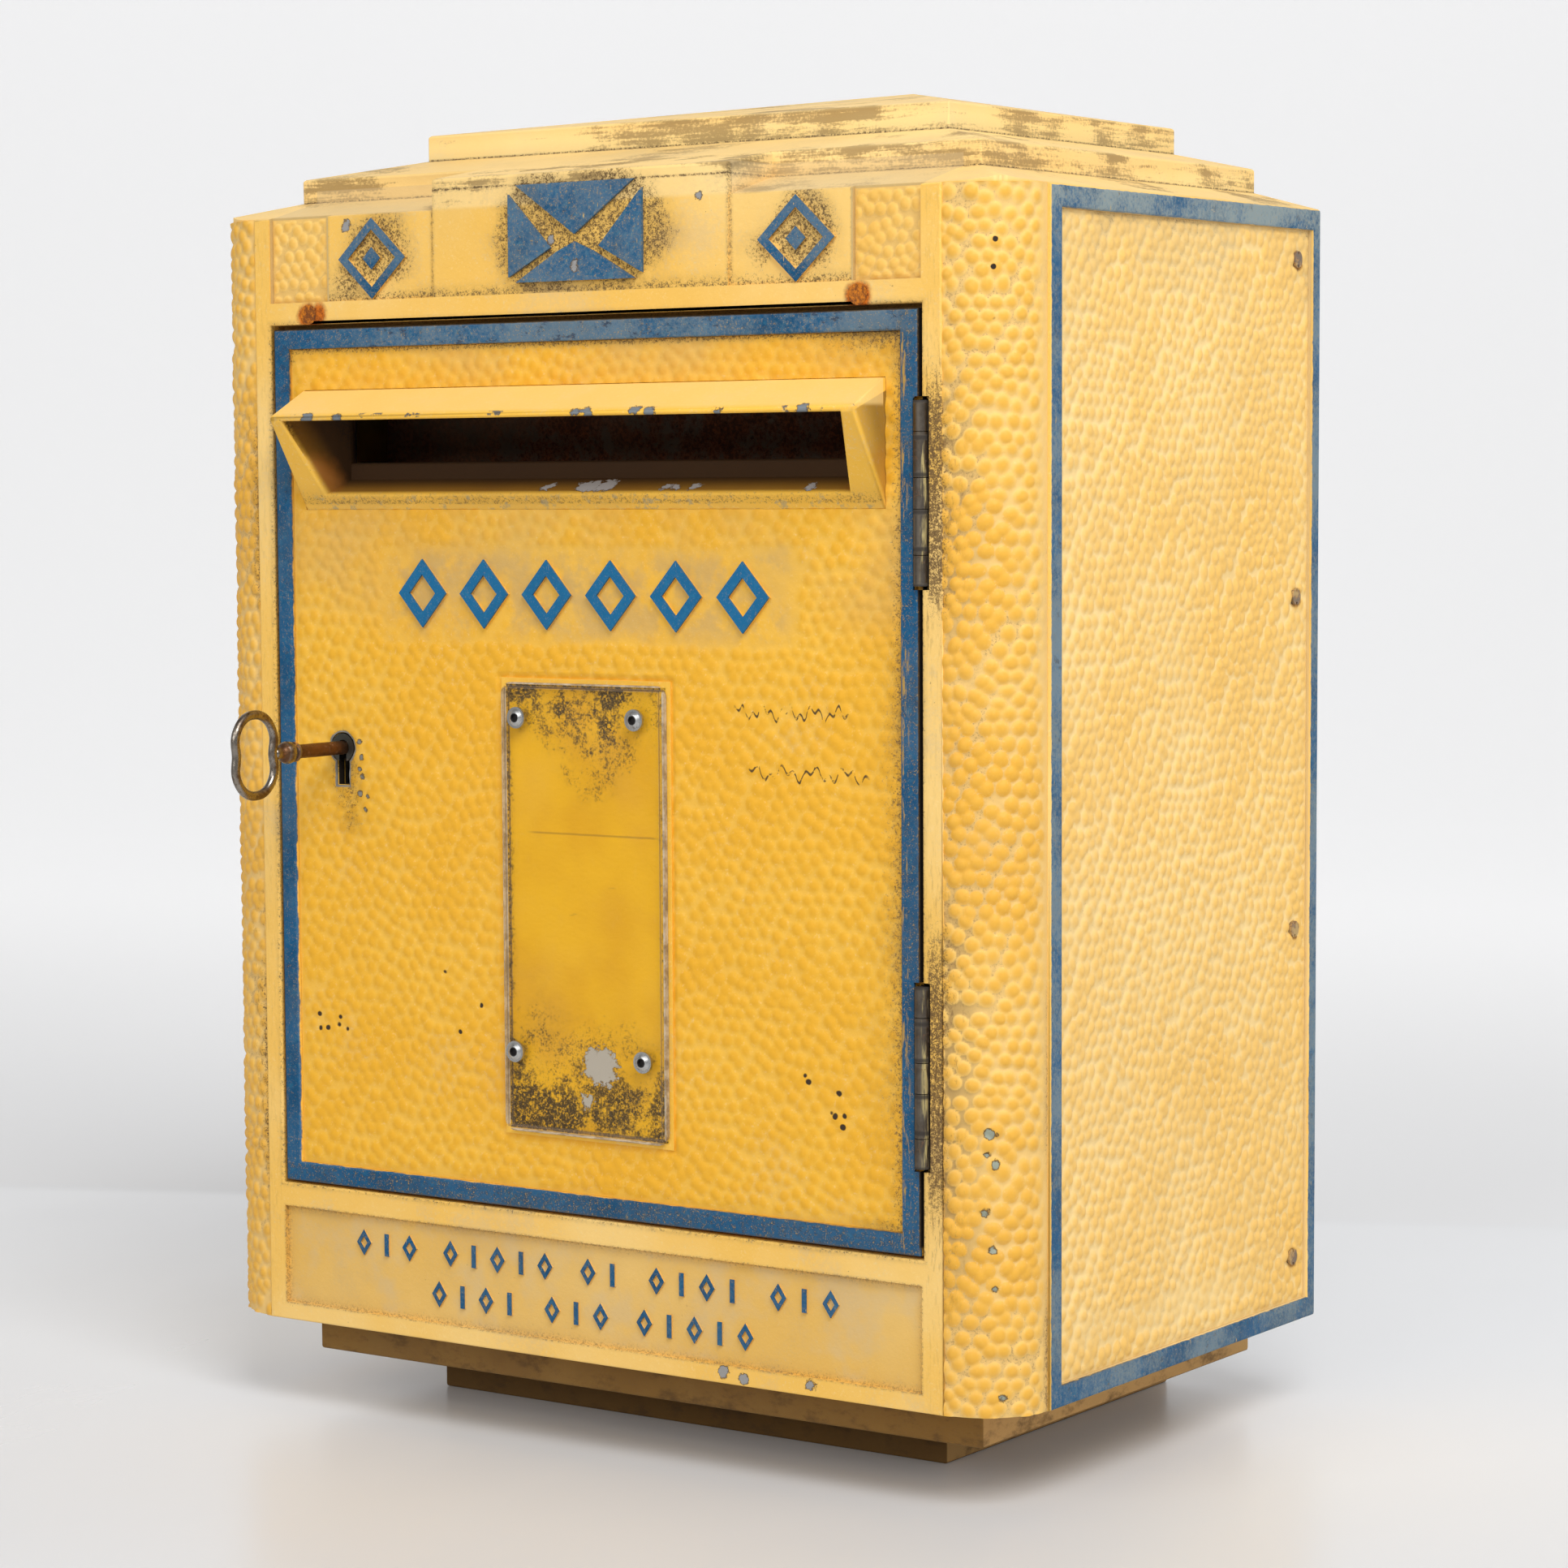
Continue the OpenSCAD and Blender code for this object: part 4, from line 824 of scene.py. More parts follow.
def door_paint():
    c = Coats("door_paint", paint(240, 186, 66), paint(242, 188, 72), 0.9)
    y = c.y - FRONT
    field = on_door(c)
    # hood: chipped lip, brown inside, darkened to near black towards the back as painted shade
    behind = (y + 18.0) * 0.853 + (c.z - 367.9) * 0.522
    under = 368.4 + (y + 18.0) * 0.3375 - c.z
    inside = c.between(behind, 0.6, 3.0) * c.between(under, -0.2, 0.3) * c.between(abs(c.x), 126.5,
            125.5) \
        * c.between(c.z, 335.5, 336.5)
    c.coat(inside * (0.78 + 0.22 * c.patch), paint(128, 82, 18), 0.68)
    # painted shade: near black deeper under the hood
    c.coat(inside * c.between(behind, 1, 12) * 0.96, paint(52, 29, 5), 0.8)
    c.grime_and_shade(inside * c.between(behind, 6, 20), paint(40, 26, 14), 0.9, 0.9)
    rust = c.spots([(s * 121, FRONT - 2, 346, 12) for s in (-1, 1)], c.ragged * 3)
    c.coat(inside * c.between(rust, -2, 4) * 0.5, paint(168, 96, 30), 0.7)
    c.coat(c.between(c.z, 369.6, 371.4) * c.between(y, 0.6, 0.2) * (0.35 + 0.4 * c.patch),
           paint(246, 208, 134), 0.62)
    lip = c.between(abs(c.z - 369.0), 2.0, 1.2) * c.between(y, -16.6, -17.4)
    worn_lip = c.cloud(0.60, 0.65, 8, 4.0, 0.7, seed=43, stretch=(0.6, 1, 1))
    c.coat(lip * worn_lip, paint(104, 98, 90), 0.55, -0.1)
    c.chips(c.strewn(3, 7, (-112, -60), (368, 370.5), -18, (2.0, 2.4))
            + c.strewn(7, 8, (-10, 106), (368, 370.5), -18, (1.6, 3.2)),
            1.2, paint(118, 124, 128))
    c.chips(c.strewn(4, 9, (-10, 12), (344, 345.4), 3, (3.0, 4.6))
            + c.strewn(6, 10, (-44, 96), (343.4, 344.6), 2.5, (1.6, 2.6)),
            1.6, paint(176, 170, 166))
    c.grime_and_shade(c.between(abs(behind), 2.4, 0.6) * c.between(c.z, 350, 338) * c.between(y, 1, 0),
            paint(120, 88, 40), 0.7, 0.7)
    rim_wear = c.between(abs(behind), 1.2, 0.3) * c.between(c.z, 342, 340) * c.cloud(0.54, 0.66, 5, 4.0,
            0.7, seed=44)
    c.coat(rim_wear * 0.6, paint(150, 146, 120), 0.6)
    # pad under the clear cover: paint kept deep and glossy, black dirt crept in at top and bottom
    pad = c.rectangle(c.x, c.z, -34.3, 35.7, 115, 274.4)
    on_pad = c.between(pad, -0.4, 0.4) * c.between(y, 1.7, 1.55)
    c.coat(on_pad, c.mix(c.cloud(0.4, 0.65, 40, 3.0, seed=45), paint(232, 174, 14), paint(222, 162, 8)),
           0.36)
    crept = c.between(c.z + c.ragged * 6 + c.between(abs(c.x - 4), 30, 0) * 24, 240, 274).high(
        c.between(c.z + c.ragged * 9 + c.between(c.x, -26, 0) * 10, 196, 132))
    crept = crept.high(c.between(pad, 8, 0) * 0.8)
    c.grime_and_shade(on_pad * crept * (0.5 + 0.5 * c.cloud(0.36, 0.56, 14, 4.0, 0.65, seed=46)), paint(52, 38, 20),
            0.95, 1.15)
    c.grime_and_shade(on_pad * c.between(pad, 3, 0.5), paint(70, 52, 28), 0.7, 0.9)
    old_fold = c.between(abs(c.z - 221.8 - c.ragged * 0.25), 0.55, 0.15) * c.between(c.x, -27,
            -20) * c.between(c.x, 33, 29)
    c.coat(on_pad * old_fold * 0.55, paint(150, 104, 24), 0.5)
    hairs = c.cloud(0.66, 0.70, 2.4, 5.0, 0.7, seed=47, stretch=(0.25, 1, 1))
    c.coat(on_pad * hairs * 0.5, paint(140, 100, 34), 0.6)
    c.chips(c.strewn(3, 11, (3, 12), (135, 144), 1.5, (4.6, 6.4))
            + c.strewn(4, 12, (-3, 18), (127, 147), 1.5, (1.8, 3.0)),
            2.6, paint(176, 166, 150))
    # blue border and signs
    border = (-field).low((1.2 - y) * 3)
    top, right, bottom = c.between(c.z, 392, 396), c.between(c.x, 131, 134), c.between(c.z, 96, 92)
    c.blue_trim(border, 0.45, 0.10 + 0.28 * top * c.between(c.x, -140, -60),
                (0.08 + 0.38 * right + 0.42 * bottom + 0.25 * top).low(0.5))
    yellow_runs = c.cloud(0.56, 0.64, 1.6, 4.0, 0.7, seed=49, stretch=(1, 1, 0.12))
    c.coat(right * c.between(c.x, 137.0, 134.5) * yellow_runs * c.between(y, 1.4, 1.0),
           paint(176, 140, 70), 0.6)
    # black edge where the door's rounded corner turns in to the gap: oil dirt and painted shade, so the gap
    # round the door reads dark
    corner = c.between(y + c.ragged * 0.3, 2.2, 1.2)
    gap_edge_shade = (c.between(c.x + c.ragged * 0.25, 139.2, 139.6) * c.between(c.z, 88, 90)).high(
        c.between(c.x + c.ragged * 0.25, -138.9, -139.3) * corner).high(
        c.between(c.z + c.ragged * 0.2, 401.2, 401.6) * corner)
    c.coat(gap_edge_shade, paint(22, 16, 12), 0.8)
    signs = c.rectangle(c.x, c.z, -84, 84, 290, 322)
    c.blue_trim(signs.low((0.9 - y) * 3), 0.55)
    c.coat(c.between(signs.low((0.9 - y) * 3), 0.0, 0.2) * 0.45, paint(30, 122, 172), 0.42)
    top_wear = c.cloud(0.56, 0.64, 5, 5.0, 0.8, seed=48, stretch=(0.7, 1, 1.3))
    c.coat(top_wear * c.between(c.z, 393, 395) * c.between(y, 1, 0.6) * 0.7, paint(34, 42, 66), 0.66,
           -0.06)
    edge = c.rectangle(c.x, c.z, -139.8, 139.8, 86.3, 401.9)
    c.grime_and_shade(c.between(edge, 1.4, 0.1) * c.between(y, 1, 0.5), paint(150, 118, 66), 0.5, 0.4)
    keyhole = c.spots([(KEYHOLE_X, FRONT + 1, KEYHOLE_Z - 2, 8.6)], c.ragged * 1.4)
    c.grime_and_shade(c.between(keyhole, -5, 2) * c.between(field, 0, 1), paint(66, 50, 32), 0.8, 0.7)
    # painted shade: the keyhole's inner walls near black
    hole = c.rectangle(c.x, c.z, -116.5, -104.5, 235, 255)
    c.coat(c.between(hole, 0, 0.4) * c.between(y, 2.3, 2.6), paint(36, 28, 20), 0.7)
    # back: plain paint gone dull, greasy round the slot
    back = c.between(y, 5.5, 5.9) * c.between(c.rectangle(c.x, c.z, -113.4, 113.4, 344.6, 379.4), 0.2,
                                              -0.2)
    c.coat(back, c.mix(c.between(c.patch, 0.35, 0.65), paint(236, 184, 76), paint(226, 170, 62)), 0.55)
    slot = c.rectangle(c.x, c.z, -110, 110, 353, 376)
    c.coat(back * c.between(slot, -16, 0) * (0.2 + 0.6 * c.patch), paint(126, 90, 46), 0.6)
    c.grime_and_shade(back * c.between(c.z, 112, 92) * 0.8, paint(112, 86, 52), 0.6, 0.5)
    return c.done()


def door_field_dirt(c, crown):
    y = c.y - FRONT
    field = on_door(c)
    # keyhole: rubbed to the metal at its rim, a stain running down from it
    across, up = c.x - KEYHOLE_X, c.z - KEYHOLE_Z
    ring = (across * across + up * up).math("SQRT") - KEYHOLE_ROUND
    hole = ring.low((abs(across) - SLOT_HALF).high(up).high(-SLOT_DOWN - up))
    stain = c.spots([(-109, FRONT + 1, 240, 7), (-107.5, FRONT + 1, 231, 6),
                     (-106.5, FRONT + 1, 223, 4.5)], c.ragged * 2)
    c.grime_and_shade(c.between(stain, -7, 3), paint(104, 74, 36), 0.8, 0.55)
    c.grime_and_shade(c.between(hole, 4.5, 0.0), paint(70, 52, 32), 0.6, 0.6)
    c.chips(c.strewn(7, 13, (-103, -98), (226, 255), 1, (0.6, 1.1)), 0.6, paint(132, 128, 116))
    c.coat(c.between(hole + c.ragged * 0.6, 0.9, 0.3), paint(126, 122, 114), 0.5, -0.08)
    c.grime_and_shade(c.between(c.x, 104, 131) * c.between(abs(c.z - 200), 150, 60), paint(118, 90, 54), 0.5, 0.45)
    # specks left by stones
    dots = c.strewn(6, 14, (-125, -109), (142, 153), 1, (0.7, 1.0)) + c.strewn(7, 15, (90, 109),
            (127, 144), 1, (0.7, 1.1)) \
        + c.strewn(4, 16, (-105, 55), (124, 195), 1, (0.7, 1.2))
    inside = c.spots(dots, c.ragged * 0.35)
    c.coat(c.between(inside, -0.35, 0.1), paint(60, 46, 32), 0.75, -0.25)
    # two lines of worn marker scribble, no letters
    for z0, x0, x1, beat in ((267, 64, 112, 0.62), (246.5, 69, 120, 0.50)):
        wave = ((c.x - x0) * beat).math("SINE") * 1.7 + ((c.x - x0) * (beat * 2.6)
                + 1.0).math("SINE") * 1.3
        line = c.between(abs(c.z - z0 - wave), 0.75, 0.25) * c.between(c.x, x0, x0 + 2) * c.between(c.x,
                x1, x1 - 2)
        broken = c.cloud(0.44, 0.52, 3.4, 4.0, 0.7, seed=51)
        c.coat(line * broken * 0.9, paint(44, 36, 34), 0.6)


door = finished(softened("door", 1.0, ((-86, 86, -2, 4, 288, 324), (-42, 43, -2, 4, 108, 280),
                                       (-120, -100, -2, 20, 230, 260))), door_paint())
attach(door, "front_door")
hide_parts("door")
door_field_paint = hammered_paint("door_field_paint", paint(239, 184, 62), paint(234, 172, 40),
                                  paint(238, 186, 76), 0.6, 1.0, door_field_dirt)

FIELD = (-132.4, 132.4, 93.7, 394.5)
NOTICE_PAD = (-37.5, 38.9, 111.5, 277.5)
SIGN_BAND = (-92, 92, 288, 324)


def sink(mesh, rect, to):
    """Presses the sheet flat behind a raised pad: u, v in rect, out no higher than to."""
    for vert in mesh.vertices:
        if rect[0] < vert.co.x < rect[1] and rect[2] < vert.co.y < rect[3]:
            vert.co.z = min(vert.co.z, to)


def cut_keyhole(mesh):
    """Opens the sheet at the keyhole: points near its outline move onto it, faces inside go."""
    bm = bmesh.new()
    bm.from_mesh(mesh)
    inside = []
    for vert in bm.verts:
        x, z = vert.co.x - KEYHOLE_X, vert.co.y - KEYHOLE_Z
        round_gap = math.hypot(x, z) - KEYHOLE_ROUND
        slot_gap = max(abs(x) - SLOT_HALF, z, -SLOT_DOWN - z)
        gap = min(round_gap, slot_gap)
        if abs(gap) < 0.62:
            if round_gap <= slot_gap and round_gap > -KEYHOLE_ROUND * 0.5:
                scale = KEYHOLE_ROUND / math.hypot(x, z)
                vert.co.x, vert.co.y = KEYHOLE_X + x * scale, KEYHOLE_Z + z * scale
            elif abs(x) - SLOT_HALF >= -SLOT_DOWN - z:
                vert.co.x = KEYHOLE_X + math.copysign(SLOT_HALF, x)
            else:
                vert.co.y = KEYHOLE_Z - SLOT_DOWN
            gap = 0.0
        inside.append(gap <= 0.0)
    bm.verts.ensure_lookup_table()
    gone = [f for f in bm.faces if all(inside[v.index] for v in f.verts)]
    bmesh.ops.delete(bm, geom=gone, context="FACES")
    bm.to_mesh(mesh)
    bm.free()


pieces = ((-132.4, 132.4, 379.6, 394.5), (-132.4, -126.2, 336.0, 379.6), (126.2, 132.4, 336.0, 379.6),
          (-132.4, 132.4, 93.7, 336.0))
sheets = [hammered_sheet(f"door_sheet_{i}", door_field_paint, rect, 0.95, (5.2, 4.6), 0.62, 7.0, 0.38,
                         3.0, field=FIELD,
                         calm=SIGN_BAND, calmness=0.75, seed=21.0, cut=cut_keyhole if i == 3 else None)
          for i, rect in enumerate(pieces)]
for sheet in sheets:
    sink(sheet, NOTICE_PAD, -0.35)
joined = bmesh.new()
for sheet in sheets:
    joined.from_mesh(sheet)
door_field = as_mesh("hammered_door_field", joined)
door_field.materials.append(door_field_paint)
stand_up(door_field, (1, 0, 0), (0, -1, 0), (0, FRONT + 1.75, 0))
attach(placed("hammered_door_field", door_field), "front_door")


# ---- Notice cover: clear plastic sheet on the door's pad ----
# Cut from 2.5 mm clear sheet with sanded corners. Its cut edges look milky, and years of wiping
# have left fine scratches.

def cover_plastic():
    c = Finish("clear_cover", paint(226, 216, 196), 0.16)
    low, high = box_in_mm("notice_cover")
    inset = c.rectangle(c.x, c.z, low.x, high.x, low.z, high.z)
    cut = c.between(inset, 0.75, 0.35)
    second = c.between(abs(inset - 1.7), 0.55, 0.15)
    scratches = c.cloud(0.66, 0.74, 1.1, 3.0, 0.6, seed=61, stretch=(1, 1, 0.12)) \
        .high(c.cloud(0.70, 0.78, 1.2, 3.0, 0.6, seed=62, stretch=(0.12, 1, 1)))
    haze = c.cloud(0.4, 0.75, 30, 3.0, 0.6, seed=63)
    c.coat(cut, c.mix(c.cloud(0.35, 0.65, 6, 4.0, 0.7, seed=64), paint(214, 200, 176),
                      paint(150, 130, 104)), 0.3)
    c.coat(second, paint(112, 84, 52), 0.3)
    alpha = 0.01 + haze * 0.012 + scratches * 0.06
    alpha = alpha.high(cut * 0.72).high(second * 0.5)
    c.height = scratches * -0.05
    return c.done(Alpha=alpha, Specular_IOR_Level=0.4)


low, high = box_in_mm("notice_cover")
cover = merged_copy("notice_cover", 1.0)
outer = [e for e in cover.edges if len(e.link_faces) == 2 and e.calc_face_angle() > 1.2
         and all(min(v.co.x - low.x * MM, high.x * MM - v.co.x, v.co.z - low.z * MM,
                     high.z * MM - v.co.z) < 4 * MM
                 for v in e.verts)]
bmesh.ops.bevel(cover, geom=outer, offset=0.45 * MM, segments=2, profile=0.5, affect="EDGES")
bmesh.ops.recalc_face_normals(cover, faces=cover.faces)
for vert in cover.verts:
    if vert.co.y > (high.y - 0.2) * MM:
        vert.co.y -= 0.06 * MM   # a hair of air behind the sheet, so that the pad shows cleanly
cover_piece = finished(placed("notice_cover_sheet", as_mesh("notice_cover_sheet", cover)),
                       cover_plastic())
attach(cover_piece, "front_door")
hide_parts("notice_cover")


# ---- Bright screws: notice cover and side rows ----
# Zinc-plated steel, button heads with a hex socket. The plating has dulled, and dirt sits in
# the sockets and round the heads.

class Steel(Finish):
    """Bare or plated steel: brushed grain, dull patches, and rust where the mask says."""

    def __init__(self, name, colour, rough=0.34, metallic=1.0):
        super().__init__(name, colour, rough, metallic)
        self.patch = self.noise(9, 4.0, 0.6, seed=71)
        self.grain = self.noise(1.4, 5.0, 0.7, seed=72)
        self.rough = rough + (self.patch - 0.5) * 0.3 + (self.grain - 0.5) * 0.15
        self.height = self.grain * 0.05

    def rust(self, mask, deep=paint(92, 48, 24), bright=paint(164, 88, 34)):
        tone = self.mix(self.between(self.grain + (self.patch - 0.5) * 0.6, 0.36, 0.64), deep, bright)
        self.coat(mask, tone, 0.86, 0.12, metallic=0.0)

    def dirt(self, mask, colour=paint(38, 32, 26)):
        self.coat(mask, colour, 0.8, 0.03, metallic=0.0)


COVER_SCREWS = ((-27.4, 262.5), (24.2, 263), (-29.4, 143.1), (26.9, 143.4))   # x, z of their sockets


def finish_nodes(material, *nodes):
    for node in nodes:
        finished(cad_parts[node], material)


def bright_zinc():
    c = Steel("zinc_plate", paint(186, 186, 184), 0.30)
    c.dirt(c.patches(0.5, 0.58, 0.74) * 0.6, paint(104, 96, 84))
    head = c.y - FRONT
    c.dirt(c.between(head, -3.15, -2.2) * c.between(head, -0.2, -1.2) * c.between(c.grain, 0.55, 0.7)
           * 0.5)
    floor = box_in_mm("notice_cover")[0].y - 1.3
    sockets = c.spots([(x, floor, z, 1.7) for x, z in COVER_SCREWS], c.grain * 0.2)
    c.dirt(c.between(sockets, -0.1, 0.15), paint(26, 22, 20))
    return c.done()


finish_nodes(bright_zinc(), "notice_cover_screws", "notice_cover_nuts", "hinge_frame_screws",
             "hinge_door_screws")


def side_screw_steel():
    c = Steel("dull_side_screws", paint(150, 140, 122), 0.42)
    c.coat(c.patches(0.7, 0.40, 0.56) * 0.85, paint(190, 156, 96), 0.66, 0.08, metallic=0.0)
    c.rust(c.patches(0.7, 0.60, 0.50) * 0.35)
    c.dirt(c.between(abs(c.x), 173.9, 173.2) * 0.7)
    return c.done()


finish_nodes(side_screw_steel(), "back_plate_screws")


# ---- Hinges: rolled steel knuckles on loose pins ----
# Plain steel that has gone dark, with yellow left along one side where the brush caught it and
# black oil dirt in the joints between knuckles. The yellow streak also paints in the barrel's
# highlight on that side.

HINGE_HIGH, KNUCKLES = 61.1, 5


def hinge_steel():
    c = Steel("dark_hinge_steel", paint(112, 104, 94), 0.40)
    c.coat(c.between(c.patch, 0.38, 0.66) * 0.6, paint(74, 66, 58), 0.5)
    brushed = c.noise(2.0, 4.0, 0.65, seed=76, stretch=(1, 1, 0.10))
    # yellow paint left on the right side, also a painted highlight on the barrel
    right = c.between(c.x, 141.4, 142.8)
    c.coat(c.between(brushed, 0.50, 0.62) * right * c.between(c.y, FRONT + 0.5, FRONT - 0.8) * 0.85,
           paint(190, 172, 112), 0.6, 0.08, metallic=0.0)
    c.coat(c.between(brushed, 0.60, 0.70) * 0.5, paint(150, 128, 84), 0.6, 0.05, metallic=0.0)
    c.rust(c.between(c.grain + (c.patch - 0.5) * 0.8, 0.62, 0.74) * 0.6, paint(66, 44, 30),
           paint(110, 76, 46))
    for middle in HINGE_LEVELS:
        joints = [middle + (i - 1.5) * HINGE_HIGH / KNUCKLES for i in range(KNUCKLES - 1)]
        for level in (*joints, middle - HINGE_HIGH / 2, middle + HINGE_HIGH / 2):
            c.dirt(c.between(abs(c.z - level), 1.3, 0.3) * 0.85)
    c.dirt(c.between(c.y, FRONT - 0.4, FRONT + 1.2) * 0.8)
    return c.done()


finish_nodes(hinge_steel(), *(f"hinge_{level}_{part}" for level in ("top", "bottom")
                              for part in ("frame_leaf", "door_leaf", "pin")))


# ---- Mail guard and its two screws: plain steel, rusted through the paint ----
# Bent steel behind the slot, bolted over the door. Nobody painted it, so it is rust brown all
# over, and rust has run from its flat screw heads over the ledge.

def rusty_steel(name, bloom, deep, bright, pits):
    c = Steel(name, paint(96, 80, 66), 0.5, 0.6)
    c.rust(c.patches(0.6, 0.64 + bloom, 0.44 + bloom), deep, bright)
    c.coat(c.cloud(0.58, 0.7, 3.0, 4.0, 0.7, seed=81) * pits, paint(56, 32, 20), 0.9, -0.08)
    c.coat(c.cloud(0.42, 0.66, 60, 3.0, seed=82) * (pits * 0.5), paint(128, 104, 80), 0.9)
    return c.done()


finish_nodes(rusty_steel("rusty_guard", 0.0, paint(74, 38, 18), paint(140, 74, 28), 0.7), "mail_guard")
finish_nodes(rusty_steel("rusty_screws", 0.34, paint(118, 60, 0), paint(206, 118, 0), 0.5),
             "guard_screws", "guard_nuts")


# ---- Back plate: folded galvanised sheet ----
# Zinc-dipped sheet steel with its crystal pattern gone dull, white bloom along the folds and
# rust at the bolt holes and cut edges.

def galvanised():
    c = Steel("galvanised_sheet", paint(150, 153, 154), 0.44, 0.85)
    crystals = c.add("ShaderNodeTexVoronoi", {"feature": "F1"}, {"Vector": c.at, "Scale": 0.09}, out=1)
    tone = c.add("ShaderNodeSeparateColor", {}, {0: crystals})
    c.coat(tone * 0.55, paint(176, 180, 182), 0.34)
    bloom = c.cloud(0.52, 0.7, 28, 5.0, 0.7, seed=85)
    c.coat(bloom * 0.6, paint(196, 196, 190), 0.8, 0.05, metallic=0.0)
    holes = c.spots([(x, 79, z, 9.0) for x in (-120, 120) for z in (100, 380)],
                    (c.noise(4, 4.0, seed=86) - 0.5) * 6)
    c.rust(c.between(holes, -3, 3) * 0.9)
    low_edge = c.between(c.z + (c.patch - 0.5) * 24, 62, 42)
    c.rust(low_edge * c.between(c.grain, 0.36, 0.6) * 0.7)
    return c.done()


finish_nodes(galvanised(), "back_plate")


# ---- Lock: case, cover, bolt, strike, and the rotor that shows in the keyhole ----
# Pressed steel case behind the door, oiled and dusty. The rotor's ring is dark steel, polished
# a little where the key has rubbed it.

def lock_steel():
    c = Steel("oiled_lock_steel", paint(124, 120, 112), 0.38)
    c.dirt(c.patches(0.5, 0.54, 0.70) * 0.7, paint(58, 48, 38))
    c.rust(c.cloud(0.60, 0.72, 13, 4.0, 0.7, seed=88) * 0.7)
    return c.done()


def rotor_steel():
    c = Steel("dark_rotor_steel", paint(92, 90, 82), 0.42)
    c.coat(c.between(c.patch, 0.4, 0.6) * 0.5, paint(66, 68, 62), 0.55)
    c.coat(c.between(c.grain, 0.60, 0.7) * 0.5, paint(128, 124, 114), 0.3)
    c.rust(c.cloud(0.60, 0.70, 3, 4.0, 0.7, seed=89) * 0.6, paint(70, 50, 32), paint(112, 80, 46))
    return c.done()


finish_nodes(lock_steel(), "lock_case", "lock_cover", "lock_cover_screws", "lock_mount_screws",
             "lock_bolt",
             "strike_plate", "strike_screws")
finish_nodes(rotor_steel(), "lock_rotor")


# ---- Key: steel key with a looped bow, standing in the lock ----
# Forged and filed: the bow is a round rod bent to two lobes, the stem has a turned ball and ring.
# Handling keeps the bow bright, and the shank has rusted brown. It turns with the rotor.

BOW_Y, BOW_WIDE, BOW_HIGH = -47.2, 27.0, 32.6
# the turned stem as distance from the door's face and radius
NECK = ((-37.4, 0.9), (-36.6, 1.9), (-35.2, 2.15), (-33.6, 2.0), (-32.8, 2.2))
BALL = ((-32.3, 2.9), (-31.6, 3.5), (-30.6, 3.95), (-29.6, 4.1), (-28.6, 3.95), (-27.8, 3.5),
        (-27.3, 2.9))
RING = ((-27.0, 2.8), (-26.7, 3.3), (-26.2, 3.65), (-25.6, 3.7), (-25.1, 3.4), (-24.8, 2.75))
SHANK = ((-24.4, 2.5), (-14.0, 2.55), (-2.0, 2.5), (12.6, 2.5), (13.1, 2.1))
BIT = (2.4, 4.3, 12.6)   # thick, long, deep


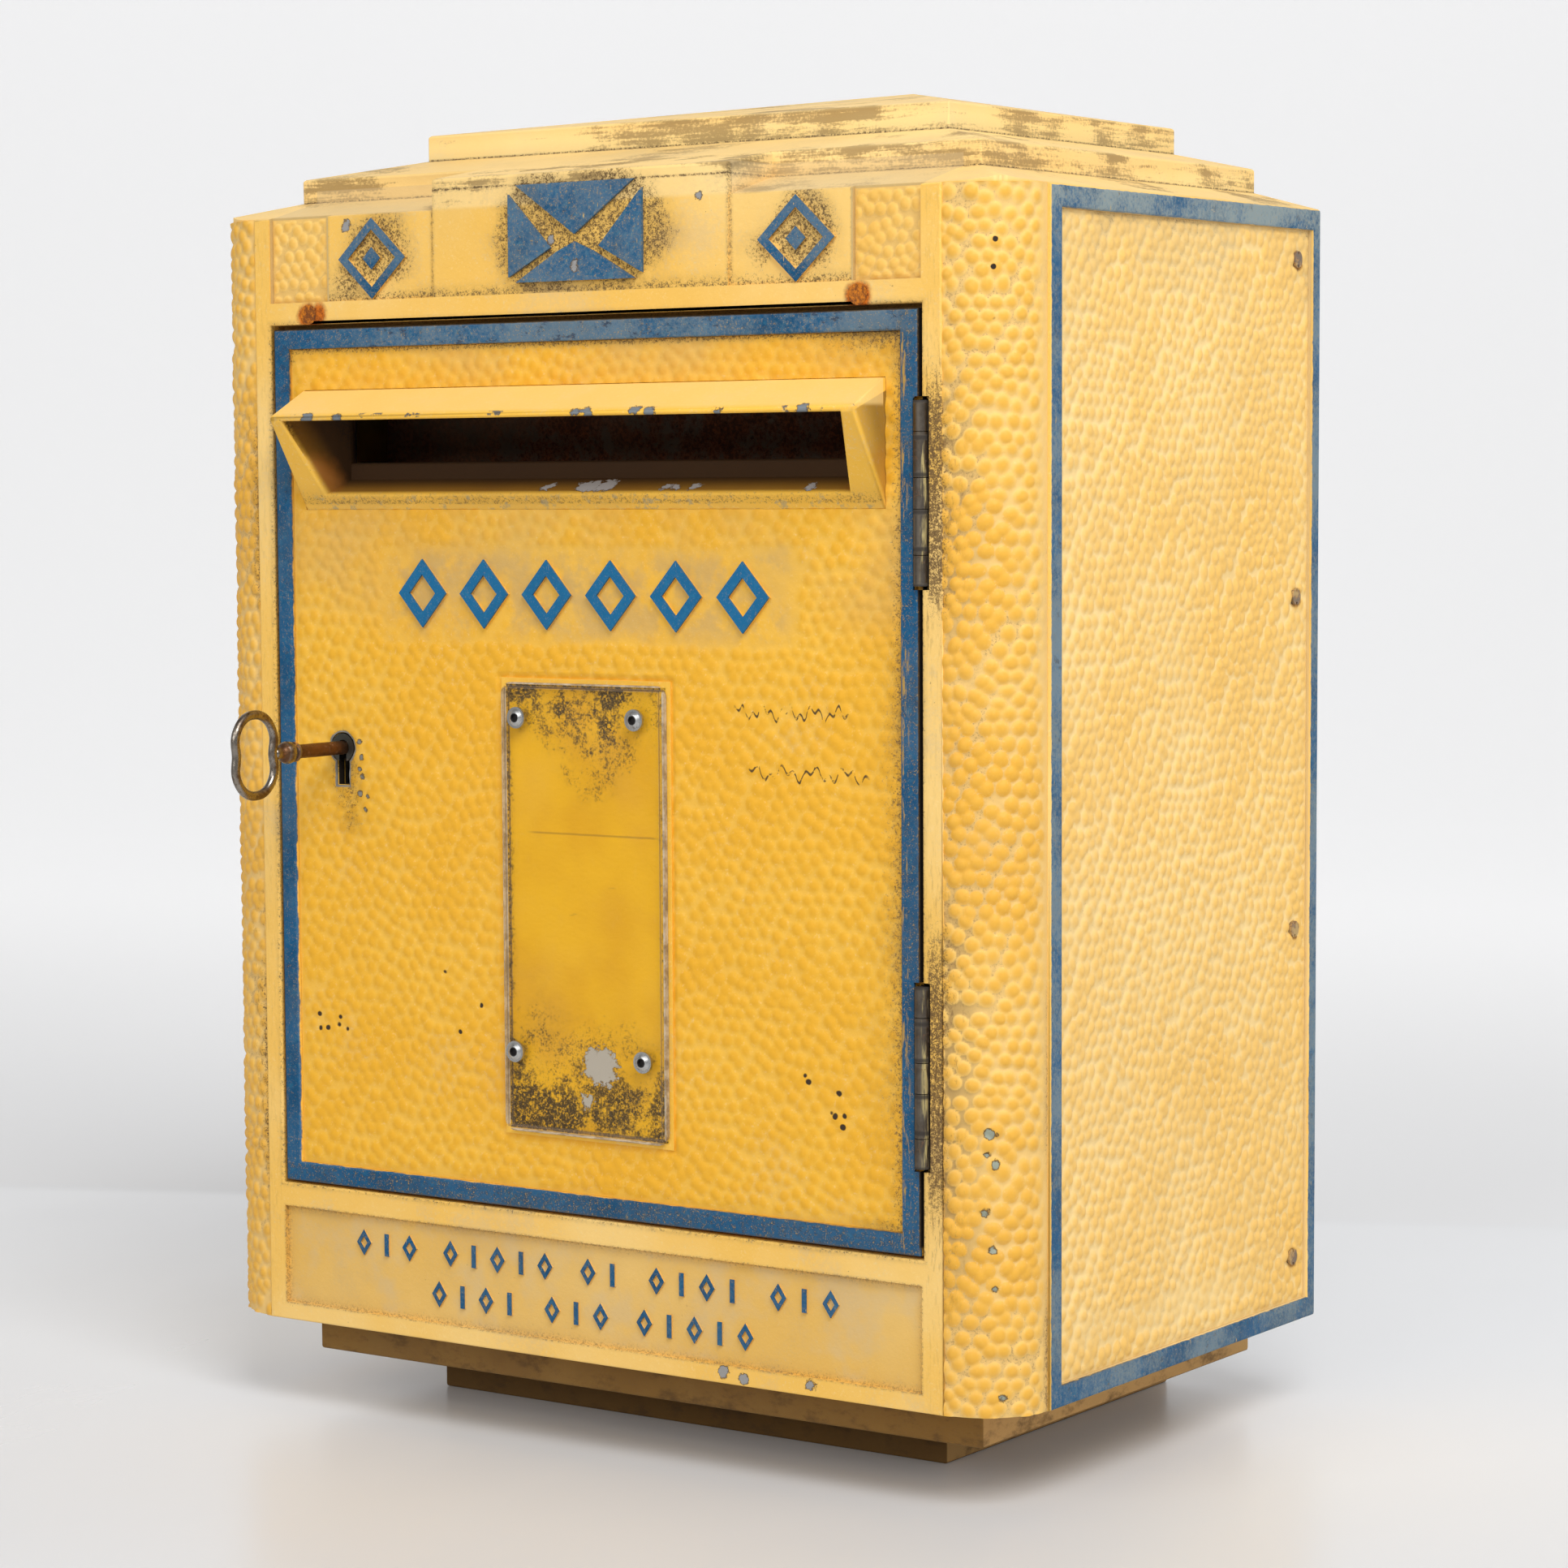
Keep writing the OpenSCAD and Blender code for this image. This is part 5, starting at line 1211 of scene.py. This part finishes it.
def key_mesh():
    bm = bmesh.new()

    def skin(rings, closed):
        count = len(rings)
        for i in range(count if closed else count - 1):
            a, b = rings[i], rings[(i + 1) % count]
            for j in range(len(a)):
                k = (j + 1) % len(a)
                bm.faces.new((a[j], a[k], b[k], b[j])).smooth = True
        if not closed:
            bm.faces.new(list(reversed(rings[0])))
            bm.faces.new(rings[-1])

    def bow(t):
        pinch = 1.0 - 0.155 * math.exp(-(math.sin(t) / 0.34) ** 2)
        long = abs(math.cos(t)) ** 0.86 * math.copysign(1, math.cos(t))
        return Vector((0.0, BOW_Y + (BOW_WIDE / 2 - 1.85) * long * pinch,
                       (BOW_HIGH / 2 - 1.8) * math.sin(t)))

    # rod round the bow, thicker at the two waists
    rings, steps, sides = [], 88, 14
    for i in range(steps):
        t = 2 * math.pi * i / steps
        along = (bow(t + 0.01) - bow(t - 0.01)).normalized()
        across = along.cross(Vector((1, 0, 0)))
        waist = math.exp(-(math.sin(t) / 0.30) ** 2)
        wide = 1.68 + 0.34 * waist * (1.0 if math.cos(t) > 0 else 0.55)
        ring = []
        for j in range(sides):
            a = 2 * math.pi * j / sides
            ring.append(bm.verts.new(bow(t) + across * (wide * math.cos(a))
                                     + Vector((1.55 * math.sin(a), 0, 0))))
        rings.append(ring)
    skin(rings, True)
    # turned stem
    around = [2 * math.pi * j / 28 for j in range(28)]
    skin([[bm.verts.new((r * math.sin(a), y, r * math.cos(a))) for a in around]
          for y, r in NECK + BALL + RING + SHANK], False)
    # bit inside the rotor
    depth = box_in_mm("key")[1].y - FRONT
    bit = bmesh.ops.create_cube(bm, size=1.0)["verts"]
    bmesh.ops.scale(bm, verts=bit, vec=BIT)
    bmesh.ops.translate(bm, verts=bit, vec=(0, depth - BIT[1] / 2 - 0.2, -BIT[2] / 2))
    for vert in bm.verts:
        vert.co = Vector((KEYHOLE_X + vert.co.x, FRONT + vert.co.y, KEYHOLE_Z + vert.co.z)) * MM
    bmesh.ops.recalc_face_normals(bm, faces=bm.faces)
    return as_mesh("key_forged", bm)


def key_steel():
    c = Steel("key_steel", paint(146, 138, 128), 0.27)
    y = c.y - FRONT
    radius = c.add("ShaderNodeVectorMath", {"operation": "LENGTH"}, {0: c.vector(
        "SUBTRACT", c.add("ShaderNodeCombineXYZ", {}, {0: c.x, 2: c.z}), (KEYHOLE_X, 0, KEYHOLE_Z))},
        out="Value")
    stem = c.between(y, -35.5, -33.0)
    c.coat(c.patches(0.5, 0.46, 0.66) * 0.75, paint(84, 62, 44), 0.42)
    brown = stem * c.between(radius, 3.9, 3.2)
    c.coat(brown * 0.9, c.mix(c.between(c.patch, 0.35, 0.65), paint(116, 76, 42), paint(84, 56, 36)), 0.5,
           0.03)
    c.rust(brown * c.between(c.grain, 0.54, 0.70) * 0.7, paint(76, 46, 28), paint(140, 90, 46))
    c.dirt(c.between(abs(y + 27.1), 0.5, 0.1) * 0.9)
    c.coat(c.between(abs(y + 25.4 - (c.z - KEYHOLE_Z - 3.0) * 0.8), 1.5, 0.8)
           * c.between(c.z, KEYHOLE_Z + 1.2, KEYHOLE_Z + 2.6)
           * c.between(c.grain, 0.40, 0.55), paint(222, 150, 48), 0.6, 0.2, metallic=0.0)
    return c.done()


key_piece = finished(placed("key_forged", key_mesh()), key_steel())
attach(key_piece, "key_and_rotor")
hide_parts("key")
